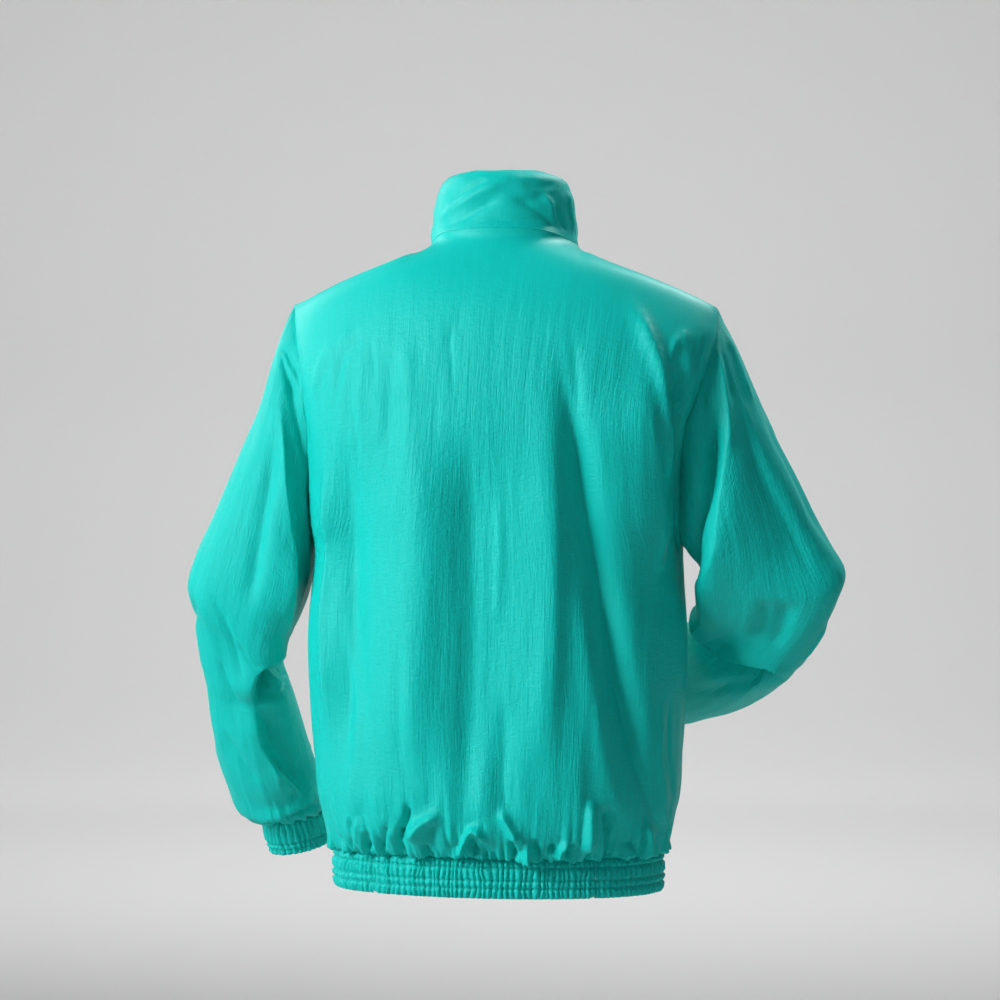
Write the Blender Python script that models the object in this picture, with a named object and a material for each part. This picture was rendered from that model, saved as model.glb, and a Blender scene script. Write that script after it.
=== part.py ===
"""Windbreaker jacket of light crinkled nylon, zipped up and worn, with its left arm hanging and its
right arm bent forwards to the front of the body.

The jacket's front faces -Y and its back +Y.  +X is the wearer's left.  The origin is the middle of
the neck, level with the seam at the nape.  Every piece of cloth is a wall between two grids of
points: an outer face laid through the sections in the tables below, and an inner face behind it.
"""

from collections import namedtuple

import bmesh
import bpy
import numpy as np

# Driving dimensions, in metres.
CLOTH = 0.0016            # wall of a panel
COLLAR_WALL = 0.0026      # the collar is two layers of cloth
SEAM_GAP = 0.0003         # between pieces that are sewn together
SEAM_SHIFT = 0.6 * SEAM_GAP   # how far each piece draws back from a seam, at any slant
HEM_Z = -0.670            # seam between body and hem band
BAND_HEIGHT = 0.041
BAND_BULGE = 0.0015       # the band is fullest at half its height
BAND_INSET = 0.0035       # the band stands this far inside the body above it
BACK_BAND_HALF = 0.122    # half the width of the band's back piece
CUFF_HEIGHT = 0.040
CUFF_BULGE = 0.0015
CUFF_INSET = 0.0008
NECK_SIDE = (0.081, 0.000, -0.0095)
NAPE = (0.0, 0.062, 0.0)
PIT = (0.0, -0.080, -0.075)
COLLAR_BACK = 0.0686
COLLAR_SIDE = 0.0725
COLLAR_FRONT = 0.080
ZIP_HALF = 0.0045         # half the slot between the fronts
CHAIN_HALF = 0.0026
TAPE_WIDTH = 0.013
TAPE_WALL = 0.0010
TAPE_CLEAR = 0.0004       # from the chain to each tape
CHAIN_WALL = 0.0024
ZIP_DEPTH = 0.0036        # how far the zip tape lies behind the face of the cloth
CHAIN_PROUD = 0.0008      # the teeth stand this far in front of the tapes
SLIDER = (0.0080, 0.0032, 0.0110)
SLIDER_BELOW_TOP = 0.013  # middle of the slider below the top of the zip
CROWN_HALF = 0.0034       # the crown that holds the pull: half its height,
CROWN_RISE = 0.0027       # its rise off the slider
CROWN_WIRE = 0.0006       # and its wire's radius
PULL = (0.0052, 0.0012, 0.0250)
PULL_BAR = 0.0006         # the pull's bar under the crown, from its axis to its edge
PULL_HOLE = (0.0026, 0.0040)
PULL_AXIS = 0.00105       # pull's axis in front of the slider's face

# Gathers.  A pleat stands this far out of the elastic bands.
PLEAT = 0.0018
BACK_BAND_PLEATS = 34
SIDE_BAND_PLEATS = 33
CUFF_PLEATS = 22
BLOUSE = 0.0026           # gathers of the body and sleeves beside the bands

# Grid steps: round the neck, along the shoulder, up to the underarm, up the armhole, down a sleeve.
NECK_STEPS = 5
SHOULDER_STEPS = 9
SIDE_STEPS = 12
ARMHOLE_STEPS = 11
SLEEVE_STEPS = 27
NECK_SHARE = 0.36         # share of a half panel's width that runs up to the neck

# Sections of the body.  Each runs from the middle of the panel to its edge, which is the side seam
# up to the underarm and the armhole above it.  ease_mid and ease_edge say how full the curve is.
Section = namedtuple("Section", "mid_z mid_y edge_z edge_y left_x right_x ease_mid ease_edge")
BACK = [
    Section(-0.670, 0.138, -0.670, 0.030, 0.1840, 0.1800, 0.56, 0.60),
    Section(-0.650, 0.152, -0.650, 0.030, 0.1890, 0.1850, 0.58, 0.62),
    Section(-0.615, 0.160, -0.615, 0.030, 0.1980, 0.1930, 0.58, 0.64),
    Section(-0.560, 0.162, -0.560, 0.030, 0.2040, 0.1990, 0.58, 0.64),
    Section(-0.445, 0.158, -0.445, 0.030, 0.2110, 0.2045, 0.58, 0.64),
    Section(-0.335, 0.155, -0.335, 0.030, 0.2045, 0.2005, 0.58, 0.64),
    Section(-0.308, 0.154, -0.320, 0.045, 0.2043, 0.2012, 0.58, 0.65),
    Section(-0.270, 0.152, -0.275, 0.055, 0.2040, 0.2035, 0.58, 0.66),
    Section(-0.200, 0.147, -0.210, 0.072, 0.2035, 0.2125, 0.58, 0.66),
    Section(-0.130, 0.134, -0.155, 0.070, 0.2105, 0.2320, 0.58, 0.62),
    Section(-0.070, 0.110, -0.115, 0.052, 0.2215, 0.2410, 0.60, 0.55),
    Section(-0.028, 0.082, -0.088, 0.032, 0.2295, 0.2390, 0.62, 0.50),
]
FRONT = [
    Section(-0.670, -0.090, -0.670, 0.030, 0.1840, 0.1800, 0.56, 0.60),
    Section(-0.650, -0.104, -0.650, 0.030, 0.1890, 0.1850, 0.58, 0.62),
    Section(-0.615, -0.110, -0.615, 0.030, 0.1980, 0.1930, 0.58, 0.64),
    Section(-0.560, -0.111, -0.560, 0.030, 0.2040, 0.1990, 0.58, 0.64),
    Section(-0.445, -0.112, -0.445, 0.030, 0.2110, 0.2045, 0.58, 0.64),
    Section(-0.335, -0.117, -0.335, 0.030, 0.2045, 0.2005, 0.58, 0.64),
    Section(-0.308, -0.118, -0.320, 0.008, 0.2037, 0.2003, 0.58, 0.63),
    Section(-0.275, -0.118, -0.275, -0.012, 0.2020, 0.2000, 0.58, 0.62),
    Section(-0.215, -0.117, -0.210, -0.034, 0.2020, 0.2080, 0.58, 0.60),
    Section(-0.165, -0.112, -0.155, -0.032, 0.2090, 0.2230, 0.58, 0.58),
    Section(-0.125, -0.102, -0.115, -0.012, 0.2210, 0.2350, 0.58, 0.55),
    Section(-0.096, -0.091, -0.088, 0.006, 0.2290, 0.2370, 0.60, 0.50),
]
UNDERARM = 5              # the section at the underarm
SEAM_PULL = 0.3           # how far a seam's wall leans with the cloth on both sides of it
SHOULDER_POINT = {"left": (0.2335, 0.020, -0.0735), "right": (0.2345, 0.020, -0.0860)}
SHOULDER_SAG = {"left": 0.0065, "right": 0.0095}

# Sections of a sleeve after the armhole: the points farthest out and farthest in, how deep the
# section is to the back and to the front of the line between them, and how square it is.
Ring = namedtuple("Ring", "out_x out_y out_z in_x in_y in_z back front power")
SLEEVE = {
    "left": [
        Ring(0.252, 0.020, -0.129, 0.212, 0.030, -0.352, 0.056, 0.060, 2.3),
        Ring(0.266, 0.022, -0.179, 0.214, 0.028, -0.362, 0.060, 0.066, 2.3),
        Ring(0.287, 0.025, -0.223, 0.216, 0.026, -0.374, 0.062, 0.066, 2.3),
        Ring(0.307, 0.028, -0.268, 0.219, 0.022, -0.388, 0.062, 0.064, 2.3),
        Ring(0.326, 0.031, -0.312, 0.226, 0.016, -0.408, 0.062, 0.062, 2.3),
        Ring(0.344, 0.032, -0.352, 0.239, 0.006, -0.432, 0.060, 0.060, 2.2),
        Ring(0.353, 0.030, -0.381, 0.254, -0.006, -0.450, 0.058, 0.058, 2.2),
        Ring(0.350, 0.024, -0.413, 0.259, -0.018, -0.468, 0.056, 0.056, 2.2),
        Ring(0.346, 0.016, -0.452, 0.257, -0.028, -0.487, 0.054, 0.054, 2.2),
        Ring(0.343, 0.002, -0.494, 0.252, -0.040, -0.513, 0.052, 0.052, 2.2),
        Ring(0.342, -0.016, -0.540, 0.246, -0.056, -0.547, 0.050, 0.052, 2.2),
        Ring(0.338, -0.034, -0.581, 0.238, -0.072, -0.583, 0.050, 0.052, 2.2),
        Ring(0.330, -0.050, -0.618, 0.232, -0.088, -0.612, 0.048, 0.050, 2.2),
        Ring(0.321, -0.061, -0.644, 0.231, -0.096, -0.630, 0.044, 0.046, 2.1),
        Ring(0.296, -0.074, -0.655, 0.232, -0.101, -0.638, 0.030, 0.032, 2.0),
    ],
    "right": [
        Ring(0.263, 0.020, -0.137, 0.213, 0.030, -0.351, 0.056, 0.060, 2.3),
        Ring(0.283, 0.022, -0.183, 0.220, 0.028, -0.359, 0.060, 0.066, 2.3),
        Ring(0.303, 0.025, -0.226, 0.224, 0.024, -0.367, 0.062, 0.066, 2.3),
        Ring(0.325, 0.028, -0.269, 0.225, 0.018, -0.375, 0.060, 0.064, 2.3),
        Ring(0.344, 0.031, -0.311, 0.225, 0.008, -0.383, 0.058, 0.062, 2.3),
        Ring(0.361, 0.034, -0.346, 0.224, -0.006, -0.391, 0.056, 0.058, 2.2),
        Ring(0.374, 0.036, -0.373, 0.222, -0.022, -0.400, 0.054, 0.054, 2.1),
        Ring(0.364, 0.032, -0.402, 0.219, -0.045, -0.409, 0.052, 0.052, 2.1),
        Ring(0.345, 0.018, -0.436, 0.213, -0.074, -0.416, 0.050, 0.052, 2.2),
        Ring(0.314, -0.008, -0.476, 0.203, -0.100, -0.423, 0.046, 0.052, 2.2),
        Ring(0.281, -0.048, -0.503, 0.184, -0.128, -0.429, 0.042, 0.052, 2.2),
        Ring(0.247, -0.092, -0.523, 0.157, -0.156, -0.442, 0.040, 0.052, 2.2),
        Ring(0.209, -0.132, -0.535, 0.128, -0.184, -0.455, 0.040, 0.050, 2.2),
        Ring(0.182, -0.158, -0.540, 0.111, -0.202, -0.468, 0.038, 0.046, 2.1),
        Ring(0.164, -0.168, -0.534, 0.117, -0.200, -0.486, 0.028, 0.032, 2.0),
    ],
}

CUFF_WAY = {"left": (-0.38, -0.35, -0.86), "right": (-0.64, -0.42, -0.64)}   # from elbow to hand

# The collar's shape from its seam to its edge: the share of its height, and how far it leans in.
Roll = namedtuple("Roll", "rise lean")
COLLAR_ROLL = [Roll(0, 0), Roll(0.25, 0.0015), Roll(0.5, 0.004), Roll(0.75, 0.007),
               Roll(0.9, 0.012), Roll(0.97, 0.018), Roll(1, 0.025)]

# Folds: a rounded ridge, or a trough where height is below 0, along the line from start to end.
# On the body the line is seen square on, so its ends are x and z.  On a sleeve they are x, y, z.
Fold = namedtuple("Fold", "start end width height")
BACK_FOLDS = [
    Fold((0.070, -0.117), (0.072, -0.311), 0.020, 0.0040),
    Fold((0.022, -0.150), (0.024, -0.270), 0.016, -0.0040),
    Fold((0.128, -0.420), (0.112, -0.625), 0.022, 0.0055),
    Fold((0.075, -0.430), (0.070, -0.650), 0.018, -0.0045),
    Fold((0.020, -0.470), (0.014, -0.660), 0.018, -0.0050),
    Fold((-0.010, -0.480), (-0.012, -0.640), 0.016, 0.0040),
    Fold((-0.055, -0.400), (-0.062, -0.655), 0.022, 0.0055),
    Fold((-0.110, -0.460), (-0.118, -0.655), 0.018, -0.0050),
    Fold((-0.160, -0.440), (-0.155, -0.650), 0.018, -0.0050),
    Fold((-0.180, -0.140), (-0.192, -0.270), 0.016, 0.0040),
    Fold((-0.120, -0.180), (-0.150, -0.330), 0.022, -0.0035),
]
FRONT_FOLDS = [
    Fold((0.060, -0.150), (0.075, -0.330), 0.020, 0.0040),
    Fold((0.130, -0.400), (0.118, -0.640), 0.022, 0.0050),
    Fold((0.080, -0.430), (0.072, -0.650), 0.018, -0.0045),
    Fold((0.160, -0.180), (0.178, -0.290), 0.016, 0.0035),
    Fold((-0.070, -0.140), (-0.080, -0.300), 0.020, 0.0040),
    Fold((-0.055, -0.560), (-0.060, -0.655), 0.018, 0.0045),
    Fold((-0.125, -0.580), (-0.120, -0.655), 0.018, 0.0045),
    Fold((-0.095, -0.360), (-0.040, -0.400), 0.016, -0.0035),
]
SLEEVE_FOLDS = {
    "left": [
        Fold((0.250, 0.090, -0.160), (0.232, 0.085, -0.320), 0.018, 0.0060),
        Fold((0.222, 0.070, -0.200), (0.216, 0.060, -0.330), 0.014, -0.0060),
        Fold((0.232, 0.050, -0.425), (0.290, 0.060, -0.470), 0.016, -0.0090),
        Fold((0.290, 0.060, -0.470), (0.312, 0.030, -0.530), 0.016, -0.0060),
        Fold((0.240, 0.045, -0.400), (0.262, 0.070, -0.430), 0.018, 0.0070),
        Fold((0.320, 0.040, -0.480), (0.290, -0.010, -0.610), 0.016, 0.0050),
        Fold((0.262, 0.000, -0.560), (0.262, -0.030, -0.610), 0.014, -0.0050),
        Fold((0.232, -0.060, -0.480), (0.290, -0.090, -0.520), 0.016, -0.0070),
        Fold((0.270, -0.050, -0.180), (0.300, -0.060, -0.330), 0.022, 0.0050),
    ],
    "right": [
        Fold((0.250, 0.085, -0.170), (0.262, 0.095, -0.340), 0.018, 0.0060),
        Fold((0.232, 0.080, -0.180), (0.226, 0.075, -0.330), 0.014, -0.0070),
        Fold((0.300, 0.080, -0.250), (0.345, 0.070, -0.360), 0.020, 0.0045),
        Fold((0.225, 0.035, -0.410), (0.290, 0.050, -0.450), 0.014, -0.0080),
        Fold((0.215, 0.040, -0.380), (0.250, 0.060, -0.410), 0.016, 0.0060),
        Fold((0.215, -0.090, -0.370), (0.300, -0.070, -0.400), 0.016, -0.0070),
        Fold((0.270, -0.050, -0.180), (0.290, -0.055, -0.330), 0.022, 0.0050),
        Fold((0.240, -0.160, -0.470), (0.180, -0.210, -0.500), 0.016, 0.0050),
    ],
}

SIDES = {"left": 1, "right": -1}

for leftover in list(bpy.data.objects):
    bpy.data.objects.remove(leftover, do_unlink=True)
jacket = bpy.data.collections.new("windbreaker_jacket")
cutters = bpy.data.collections.new("cutters")
bpy.context.scene.collection.children.link(jacket)
bpy.context.scene.collection.children.link(cutters)


# ---------------------------------------------------------------- curves and grids

def unit(vectors):
    return vectors / np.linalg.norm(vectors, axis=-1, keepdims=True)


def spline(knots, points, at):
    """A smooth curve through the points at their knots, read at 'at'."""
    gaps = np.diff(knots)
    shape = (-1,) + (1,) * (points.ndim - 1)
    slope = np.diff(points, axis=0) / gaps.reshape(shape)
    near = (gaps[1:] / (gaps[1:] + gaps[:-1])).reshape(shape)
    tangent = np.empty_like(points)
    tangent[1:-1] = slope[:-1] * near + slope[1:] * (1 - near)
    tangent[0] = 1.5 * slope[0] - 0.5 * tangent[1]
    tangent[-1] = 1.5 * slope[-1] - 0.5 * tangent[-2]
    span = np.clip(np.searchsorted(knots, at, side="right") - 1, 0, len(gaps) - 1)
    u = ((at - knots[span]) / gaps[span]).reshape(shape)
    gap = gaps[span].reshape(shape)
    return ((2 * u**3 - 3 * u**2 + 1) * points[span] + (3 * u**2 - 2 * u**3) * points[span + 1]
            + (u**3 - 2 * u**2 + u) * gap * tangent[span] + (u**3 - u**2) * gap * tangent[span + 1])


def spaced(line, shares):
    """Points at these shares of the length of a line."""
    along = np.concatenate([[0], np.cumsum(np.linalg.norm(np.diff(line, axis=0), axis=1))])
    at = np.asarray(shares) * along[-1]
    return np.stack([np.interp(at, along, line[:, k]) for k in range(3)], axis=1)


def section_line(section, side, start_x, shares):
    """Half a section of the body, from the panel's middle to its edge."""
    edge_x = section.left_x if side == "left" else section.right_x
    corners = np.array([
        (start_x, section.mid_y, section.mid_z),
        (start_x + section.ease_mid * (edge_x - start_x), section.mid_y, section.mid_z),
        (edge_x, section.edge_y + section.ease_edge * (section.mid_y - section.edge_y), section.edge_z),
        (edge_x, section.edge_y, section.edge_z)])
    u = np.linspace(0, 1, 60)[:, None]
    line = ((1 - u)**3 * corners[0] + 3 * (1 - u)**2 * u * corners[1]
            + 3 * (1 - u) * u**2 * corners[2] + u**3 * corners[3])
    return spaced(line, shares)


def neck_line(low, start_x, shares):
    """A quarter of the neck seam, from the nape or the pit of the neck to the side of the neck."""
    turn = np.linspace(0, np.pi / 2, 60)
    line = np.stack([NECK_SIDE[0] * np.sin(turn), low[1] * np.cos(turn),
                     NECK_SIDE[2] + (low[2] - NECK_SIDE[2]) * np.cos(turn)**1.5], axis=1)
    if start_x > 0:
        first = int(np.argmax(line[:, 0] > start_x))
        share = (start_x - line[first - 1, 0]) / (line[first, 0] - line[first - 1, 0])
        line = np.vstack([line[first - 1] + share * (line[first] - line[first - 1]), line[first:]])
    return spaced(line, shares)


def shoulder_line(side, shares):
    """The shoulder seam, from the neck out, a little hollow."""
    shares = np.asarray(shares)[:, None]
    line = np.array(NECK_SIDE) + (np.array(SHOULDER_POINT[side]) - np.array(NECK_SIDE)) * shares
    line[:, 2] -= SHOULDER_SAG[side] * np.sin(np.pi * shares[:, 0]**0.6)
    return line


def body_half(side):
    """The back and front grids of one side: rows up from the hem, columns from the middle out."""
    shares = np.concatenate([np.linspace(0, NECK_SHARE, NECK_STEPS + 1),
                             np.linspace(NECK_SHARE, 1, SHOULDER_STEPS + 1)[1:]])
    sections = []
    for table, low, start_x in ((BACK, NAPE, 0.0), (FRONT, PIT, ZIP_HALF)):
        rows = [section_line(section, side, start_x, shares) for section in table]
        rows.append(np.vstack([neck_line(low, start_x, np.linspace(0, 1, NECK_STEPS + 1)),
                               shoulder_line(side, np.linspace(0, 1, SHOULDER_STEPS + 1)[1:])]))
        sections.append(np.array(rows))
    steps = sum(np.linalg.norm(np.diff(rows, axis=0), axis=2).mean(axis=1) for rows in sections) / 2
    knots = np.concatenate([[0], np.cumsum(steps), [steps.sum() + steps[-1]]])
    heights = np.concatenate([np.linspace(0, knots[UNDERARM], SIDE_STEPS + 1),
                              np.linspace(knots[UNDERARM], knots[-2], ARMHOLE_STEPS + 1)[1:]])
    grids = []
    for mine, other in (sections, sections[::-1]):
        # A row past the shoulder seam lets the panel run smoothly over into the other one.
        beyond = 2 * mine[-1] - mine[-2]
        reach = np.linalg.norm(mine[-1] - mine[-2], axis=1, keepdims=True)
        onward = mine[-1] + unit(other[-2] - other[-1]) * reach
        beyond[NECK_STEPS:] = onward[NECK_STEPS:]
        grids.append(spline(knots, np.concatenate([mine, beyond[None]]), heights))
    back, front = grids
    side_seam = (back[:SIDE_STEPS + 1, -1] + front[:SIDE_STEPS + 1, -1]) / 2
    back[:SIDE_STEPS + 1, -1] = front[:SIDE_STEPS + 1, -1] = side_seam
    front[-1, NECK_STEPS:] = back[-1, NECK_STEPS:]
    return back, front


def sleeve_tube(side, back, front):
    """The sleeve's grid: rows from the armhole to the cuff, columns from the shoulder round the back."""
    armhole = np.vstack([back[SIDE_STEPS + 1:, -1][::-1], front[SIDE_STEPS:-1, -1]])
    turn = np.linspace(0, 2 * np.pi, len(armhole), endpoint=False)
    table = SLEEVE[side]
    out_points = np.array([ring[0:3] for ring in table])
    in_points = np.array([ring[3:6] for ring in table])
    middles = (out_points + in_points) / 2
    along = unit(np.gradient(np.vstack([armhole.mean(axis=0), middles]), axis=0))[1:]
    along[-1] = CUFF_WAY[side]
    rings = [armhole]
    for ring, out_point, middle, way in zip(table, out_points, middles, along):
        across = out_point - middle
        to_back = unit(np.cross(across, way))
        square = 2 / ring.power
        sideways = np.sign(np.cos(turn)) * np.abs(np.cos(turn))**square
        depth = np.where(np.sin(turn) > 0, ring.back, ring.front)
        backwards = np.sign(np.sin(turn)) * np.abs(np.sin(turn))**square * depth
        rings.append(middle + np.outer(sideways, across) + np.outer(backwards, to_back))
    rings = np.array(rings)
    knots = np.concatenate([[0], np.cumsum(np.linalg.norm(np.diff(rings, axis=0), axis=2).mean(axis=1))])
    return spline(knots, rings, np.linspace(0, knots[-1], SLEEVE_STEPS + 1))


def collar_half(back, front):
    """Half the collar, from the nape round to the front: it rises off the neck seam and rolls in."""
    base = np.vstack([back[-1, :NECK_STEPS + 1], front[-1, :NECK_STEPS][::-1]])
    toward = np.arctan2(base[:, 1], base[:, 0])
    end_height = np.where(toward > 0, COLLAR_BACK, COLLAR_FRONT)
    height = COLLAR_SIDE + (end_height - COLLAR_SIDE) * np.sin(toward)**2
    roll = np.where(toward > 0, 1.0, 1.0 - 0.5 * np.sin(toward)**2)
    depth = np.where(toward > 0, NAPE[1], -PIT[1])
    out = unit(np.stack([base[:, 0] / NECK_SIDE[0]**2, base[:, 1] / depth**2, 0 * depth], axis=1))
    out[[0, -1]] = unit(out[[0, -1]] * (0, 1, 0))
    rows = []
    for step in COLLAR_ROLL:
        rows.append(base - out * (step.lean * roll)[:, None] + np.outer(step.rise * height, (0, 0, 1)))
    return np.array(rows)


# ---------------------------------------------------------------- folds and gathers

def relief(points, folds):
    """How far the folds lift these points."""
    lift = np.zeros(points.shape[:-1])
    for fold in folds:
        start, run = np.array(fold.start), np.array(fold.end) - fold.start
        share = np.clip((points - start) @ run / (run @ run), 0, 1)
        away = np.linalg.norm(points - (start + share[..., None] * run), axis=-1)
        lift += fold.height * np.exp(-(away / fold.width)**2)
    return lift


def fade(count, low=2, high=2):
    """1 along a row of grid lines, falling to 0 at its two ends."""
    line = np.arange(count)
    low_end = np.clip(line / low, 0, 1) if low else np.ones(count)
    high_end = np.clip((count - 1 - line) / high, 0, 1) if high else np.ones(count)
    return low_end * high_end


def gathers(columns, seed):
    """Every second column stands out, by uneven amounts."""
    uneven = np.random.default_rng(seed).uniform(0.55, 1.15, columns)
    return np.where(np.arange(columns) % 2, -0.4, 1.0) * uneven


def grid_normals(grid, closed):
    """The outward normal at each point of a grid."""
    if closed:
        around = np.roll(grid, -1, axis=1) - np.roll(grid, 1, axis=1)
    else:
        around = np.gradient(grid, axis=1)
    normal = unit(np.cross(around, np.gradient(grid, axis=0)))
    return normal * np.sign((normal * (grid - grid.mean(axis=(0, 1)))).sum())


def way_in(grid, closed):
    """At the borders of a grid, the direction along the cloth into the piece; 0 elsewhere."""
    way = np.zeros_like(grid)
    way[0] += unit(grid[1] - grid[0])
    way[-1] += unit(grid[-2] - grid[-1])
    if not closed:
        way[:, 0] += unit(grid[:, 1] - grid[:, 0])
        way[:, -1] += unit(grid[:, -2] - grid[:, -1])
    return way


# ---------------------------------------------------------------- solids

def plain_material(name, colour, roughness, metallic=0.0):
    material = bpy.data.materials.new(name)
    material.use_nodes = True
    shader = material.node_tree.nodes["Principled BSDF"]
    shader.inputs["Base Color"].default_value = (*colour, 1.0)
    shader.inputs["Roughness"].default_value = roughness
    shader.inputs["Metallic"].default_value = metallic
    material.diffuse_color = (*colour, 1.0)
    return material


TURQUOISE = (0.006, 0.500, 0.445)
ZIP_TEAL = (0.010, 0.300, 0.270)
METAL_GREY = (0.42, 0.44, 0.45)
RIM_LEAN = np.array((0.31, 1.0, 0.73))     # tells the two ends of an edge face apart


def wall(name, outer, inner, closed=False, colour=TURQUOISE, roughness=0.5, metallic=0.0):
    """One closed body between an outer and an inner grid, whose columns match."""
    columns = outer.shape[1]
    points = np.vstack([outer.reshape(-1, 3), inner.reshape(-1, 3)])
    out_id = np.arange(outer.shape[0] * columns).reshape(-1, columns)
    in_id = out_id.size + np.arange(inner.shape[0] * columns).reshape(-1, columns)
    faces = []
    for c in range(columns if closed else columns - 1):
        d = (c + 1) % columns
        faces += [(o[c], o[d], p[d], p[c]) for o, p in zip(out_id[:-1], out_id[1:])]
        faces += [(o[c], p[c], p[d], o[d]) for o, p in zip(in_id[:-1], in_id[1:])]
        for o, p in ((out_id[0], in_id[0]), (out_id[-1], in_id[-1])):
            # Both walls at a seam split their edge faces the same way, so these don't cross.
            a, b = (c, d) if points[o[c]] @ RIM_LEAN > points[o[d]] @ RIM_LEAN else (d, c)
            faces += [(o[a], o[b], p[b]), (o[a], p[b], p[a])]
    if not closed:
        for c in (0, columns - 1):
            if len(out_id) == len(in_id):
                faces += [(a, b, e, d) for a, b, d, e in zip(out_id[:-1, c], out_id[1:, c],
                                                             in_id[:-1, c], in_id[1:, c])]
            else:
                faces.append(tuple(out_id[:, c]) + tuple(in_id[::-1, c]))
    mesh = bpy.data.meshes.new(name)
    mesh.from_pydata(points.tolist(), [], [[int(i) for i in face] for face in faces])
    edit = bmesh.new()
    edit.from_mesh(mesh)
    bmesh.ops.recalc_face_normals(edit, faces=edit.faces)
    edit.to_mesh(mesh)
    edit.free()
    mesh.shade_smooth()
    mesh.set_sharp_from_angle(angle=np.radians(50))
    mesh.materials.append(plain_material(name, colour, roughness, metallic))
    solid = bpy.data.objects.new(name, mesh)
    jacket.objects.link(solid)
    return solid


Panel = namedtuple("Panel", "group grid normal inwards closed thickness")


def lay_panels():
    """Every panel's outer face, with its folds, and with +X to the wearer's left."""
    panels = {}

    def add(name, group, grid, closed=False, thickness=CLOTH):
        normal = grid_normals(grid, closed)
        panels[name] = Panel(group, grid, normal, way_in(grid, closed), closed, thickness)

    halves = {}
    for side, sign in SIDES.items():
        back, front = body_half(side)
        grids = back, front, sleeve_tube(side, back, front), collar_half(back, front)
        halves[side] = [grid * (sign, 1, 1) for grid in grids]
    back = np.hstack([halves["right"][0][:, :0:-1], halves["left"][0]])
    rows, columns = back.shape[:2]
    lift = relief(back[..., [0, 2]], BACK_FOLDS) * np.outer(fade(rows, low=1), fade(columns))
    lift[1:4] += np.outer((BLOUSE, BLOUSE * 0.7, BLOUSE * 0.3), gathers(columns, 1) * fade(columns))
    add("back", "body", back + grid_normals(back, False) * lift[..., None])
    for seed, (side, (_, front, sleeve, _)) in enumerate(halves.items(), start=2):
        rows, columns = front.shape[:2]
        lift = relief(front[..., [0, 2]], FRONT_FOLDS) * np.outer(fade(rows, low=1), fade(columns))
        lift[1:4] += np.outer((BLOUSE, BLOUSE * 0.7, BLOUSE * 0.3), gathers(columns, seed) * fade(columns))
        add("front_" + side, "body", front + grid_normals(front, False) * lift[..., None])
        rows, columns = sleeve.shape[:2]
        mirrored = sleeve * (SIDES[side], 1, 1)
        lift = relief(mirrored, SLEEVE_FOLDS[side]) * fade(rows, low=3, high=1)[:, None]
        lift[-4:-1] += np.outer((BLOUSE * 0.3, BLOUSE * 0.7, BLOUSE), gathers(columns, seed + 4))
        add("sleeve_" + side, "sleeve", sleeve + grid_normals(sleeve, True) * lift[..., None], closed=True)
    collar = np.hstack([halves["right"][3][:, :0:-1], halves["left"][3]])
    add("collar", "collar", collar, thickness=COLLAR_WALL)
    return panels


def meeting_points(panels):
    """Each point on a border, with every panel that has it there and its row and column."""
    meetings = {}
    for name, panel in panels.items():
        border = np.linalg.norm(panel.inwards, axis=-1) > 0
        for row, column in zip(*np.nonzero(border)):
            place = tuple(np.round(panel.grid[row, column] * 1e5).astype(int))
            meetings.setdefault(place, []).append((name, row, column))
    return [guests for guests in meetings.values() if len({name for name, _, _ in guests}) > 1]


def sew(panels):
    """Makes each panel a wall.  Where panels meet, their walls share one mitre and stand a gap apart."""
    out = {name: panel.normal.copy() for name, panel in panels.items()}
    shift = {name: np.zeros_like(panel.grid) for name, panel in panels.items()}
    for guests in meeting_points(panels):
        normal = {guest: panels[guest[0]].normal[guest[1:]] for guest in guests}
        inwards = {guest: unit(panels[guest[0]].inwards[guest[1:]]) for guest in guests}
        groups = {panels[guest[0]].group for guest in guests}
        mitre = SEAM_PULL * sum(inwards.values())
        for group in groups:
            mitre = mitre + unit(sum(normal[guest] for guest in guests if panels[guest[0]].group == group))
        for guest in guests:
            others = [other for other in guests if other[0] != guest[0]]
            other_normal = unit(sum(normal[other] for other in others))
            facing = max(0.0, -normal[guest] @ other_normal)
            apart = unit(inwards[guest] - sum(inwards[other] for other in others) / len(others))
            apart = apart + facing * (other_normal - normal[guest])
            out[guest[0]][guest[1:]] = unit(unit(mitre) * (1 - facing) + normal[guest] * facing)
            shift[guest[0]][guest[1:]] = apart * SEAM_SHIFT
    for name, panel in panels.items():
        outer = panel.grid + shift[name]
        wall(name, outer, outer - out[name] * panel.thickness, panel.closed)


# ---------------------------------------------------------------- elastic bands

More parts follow.
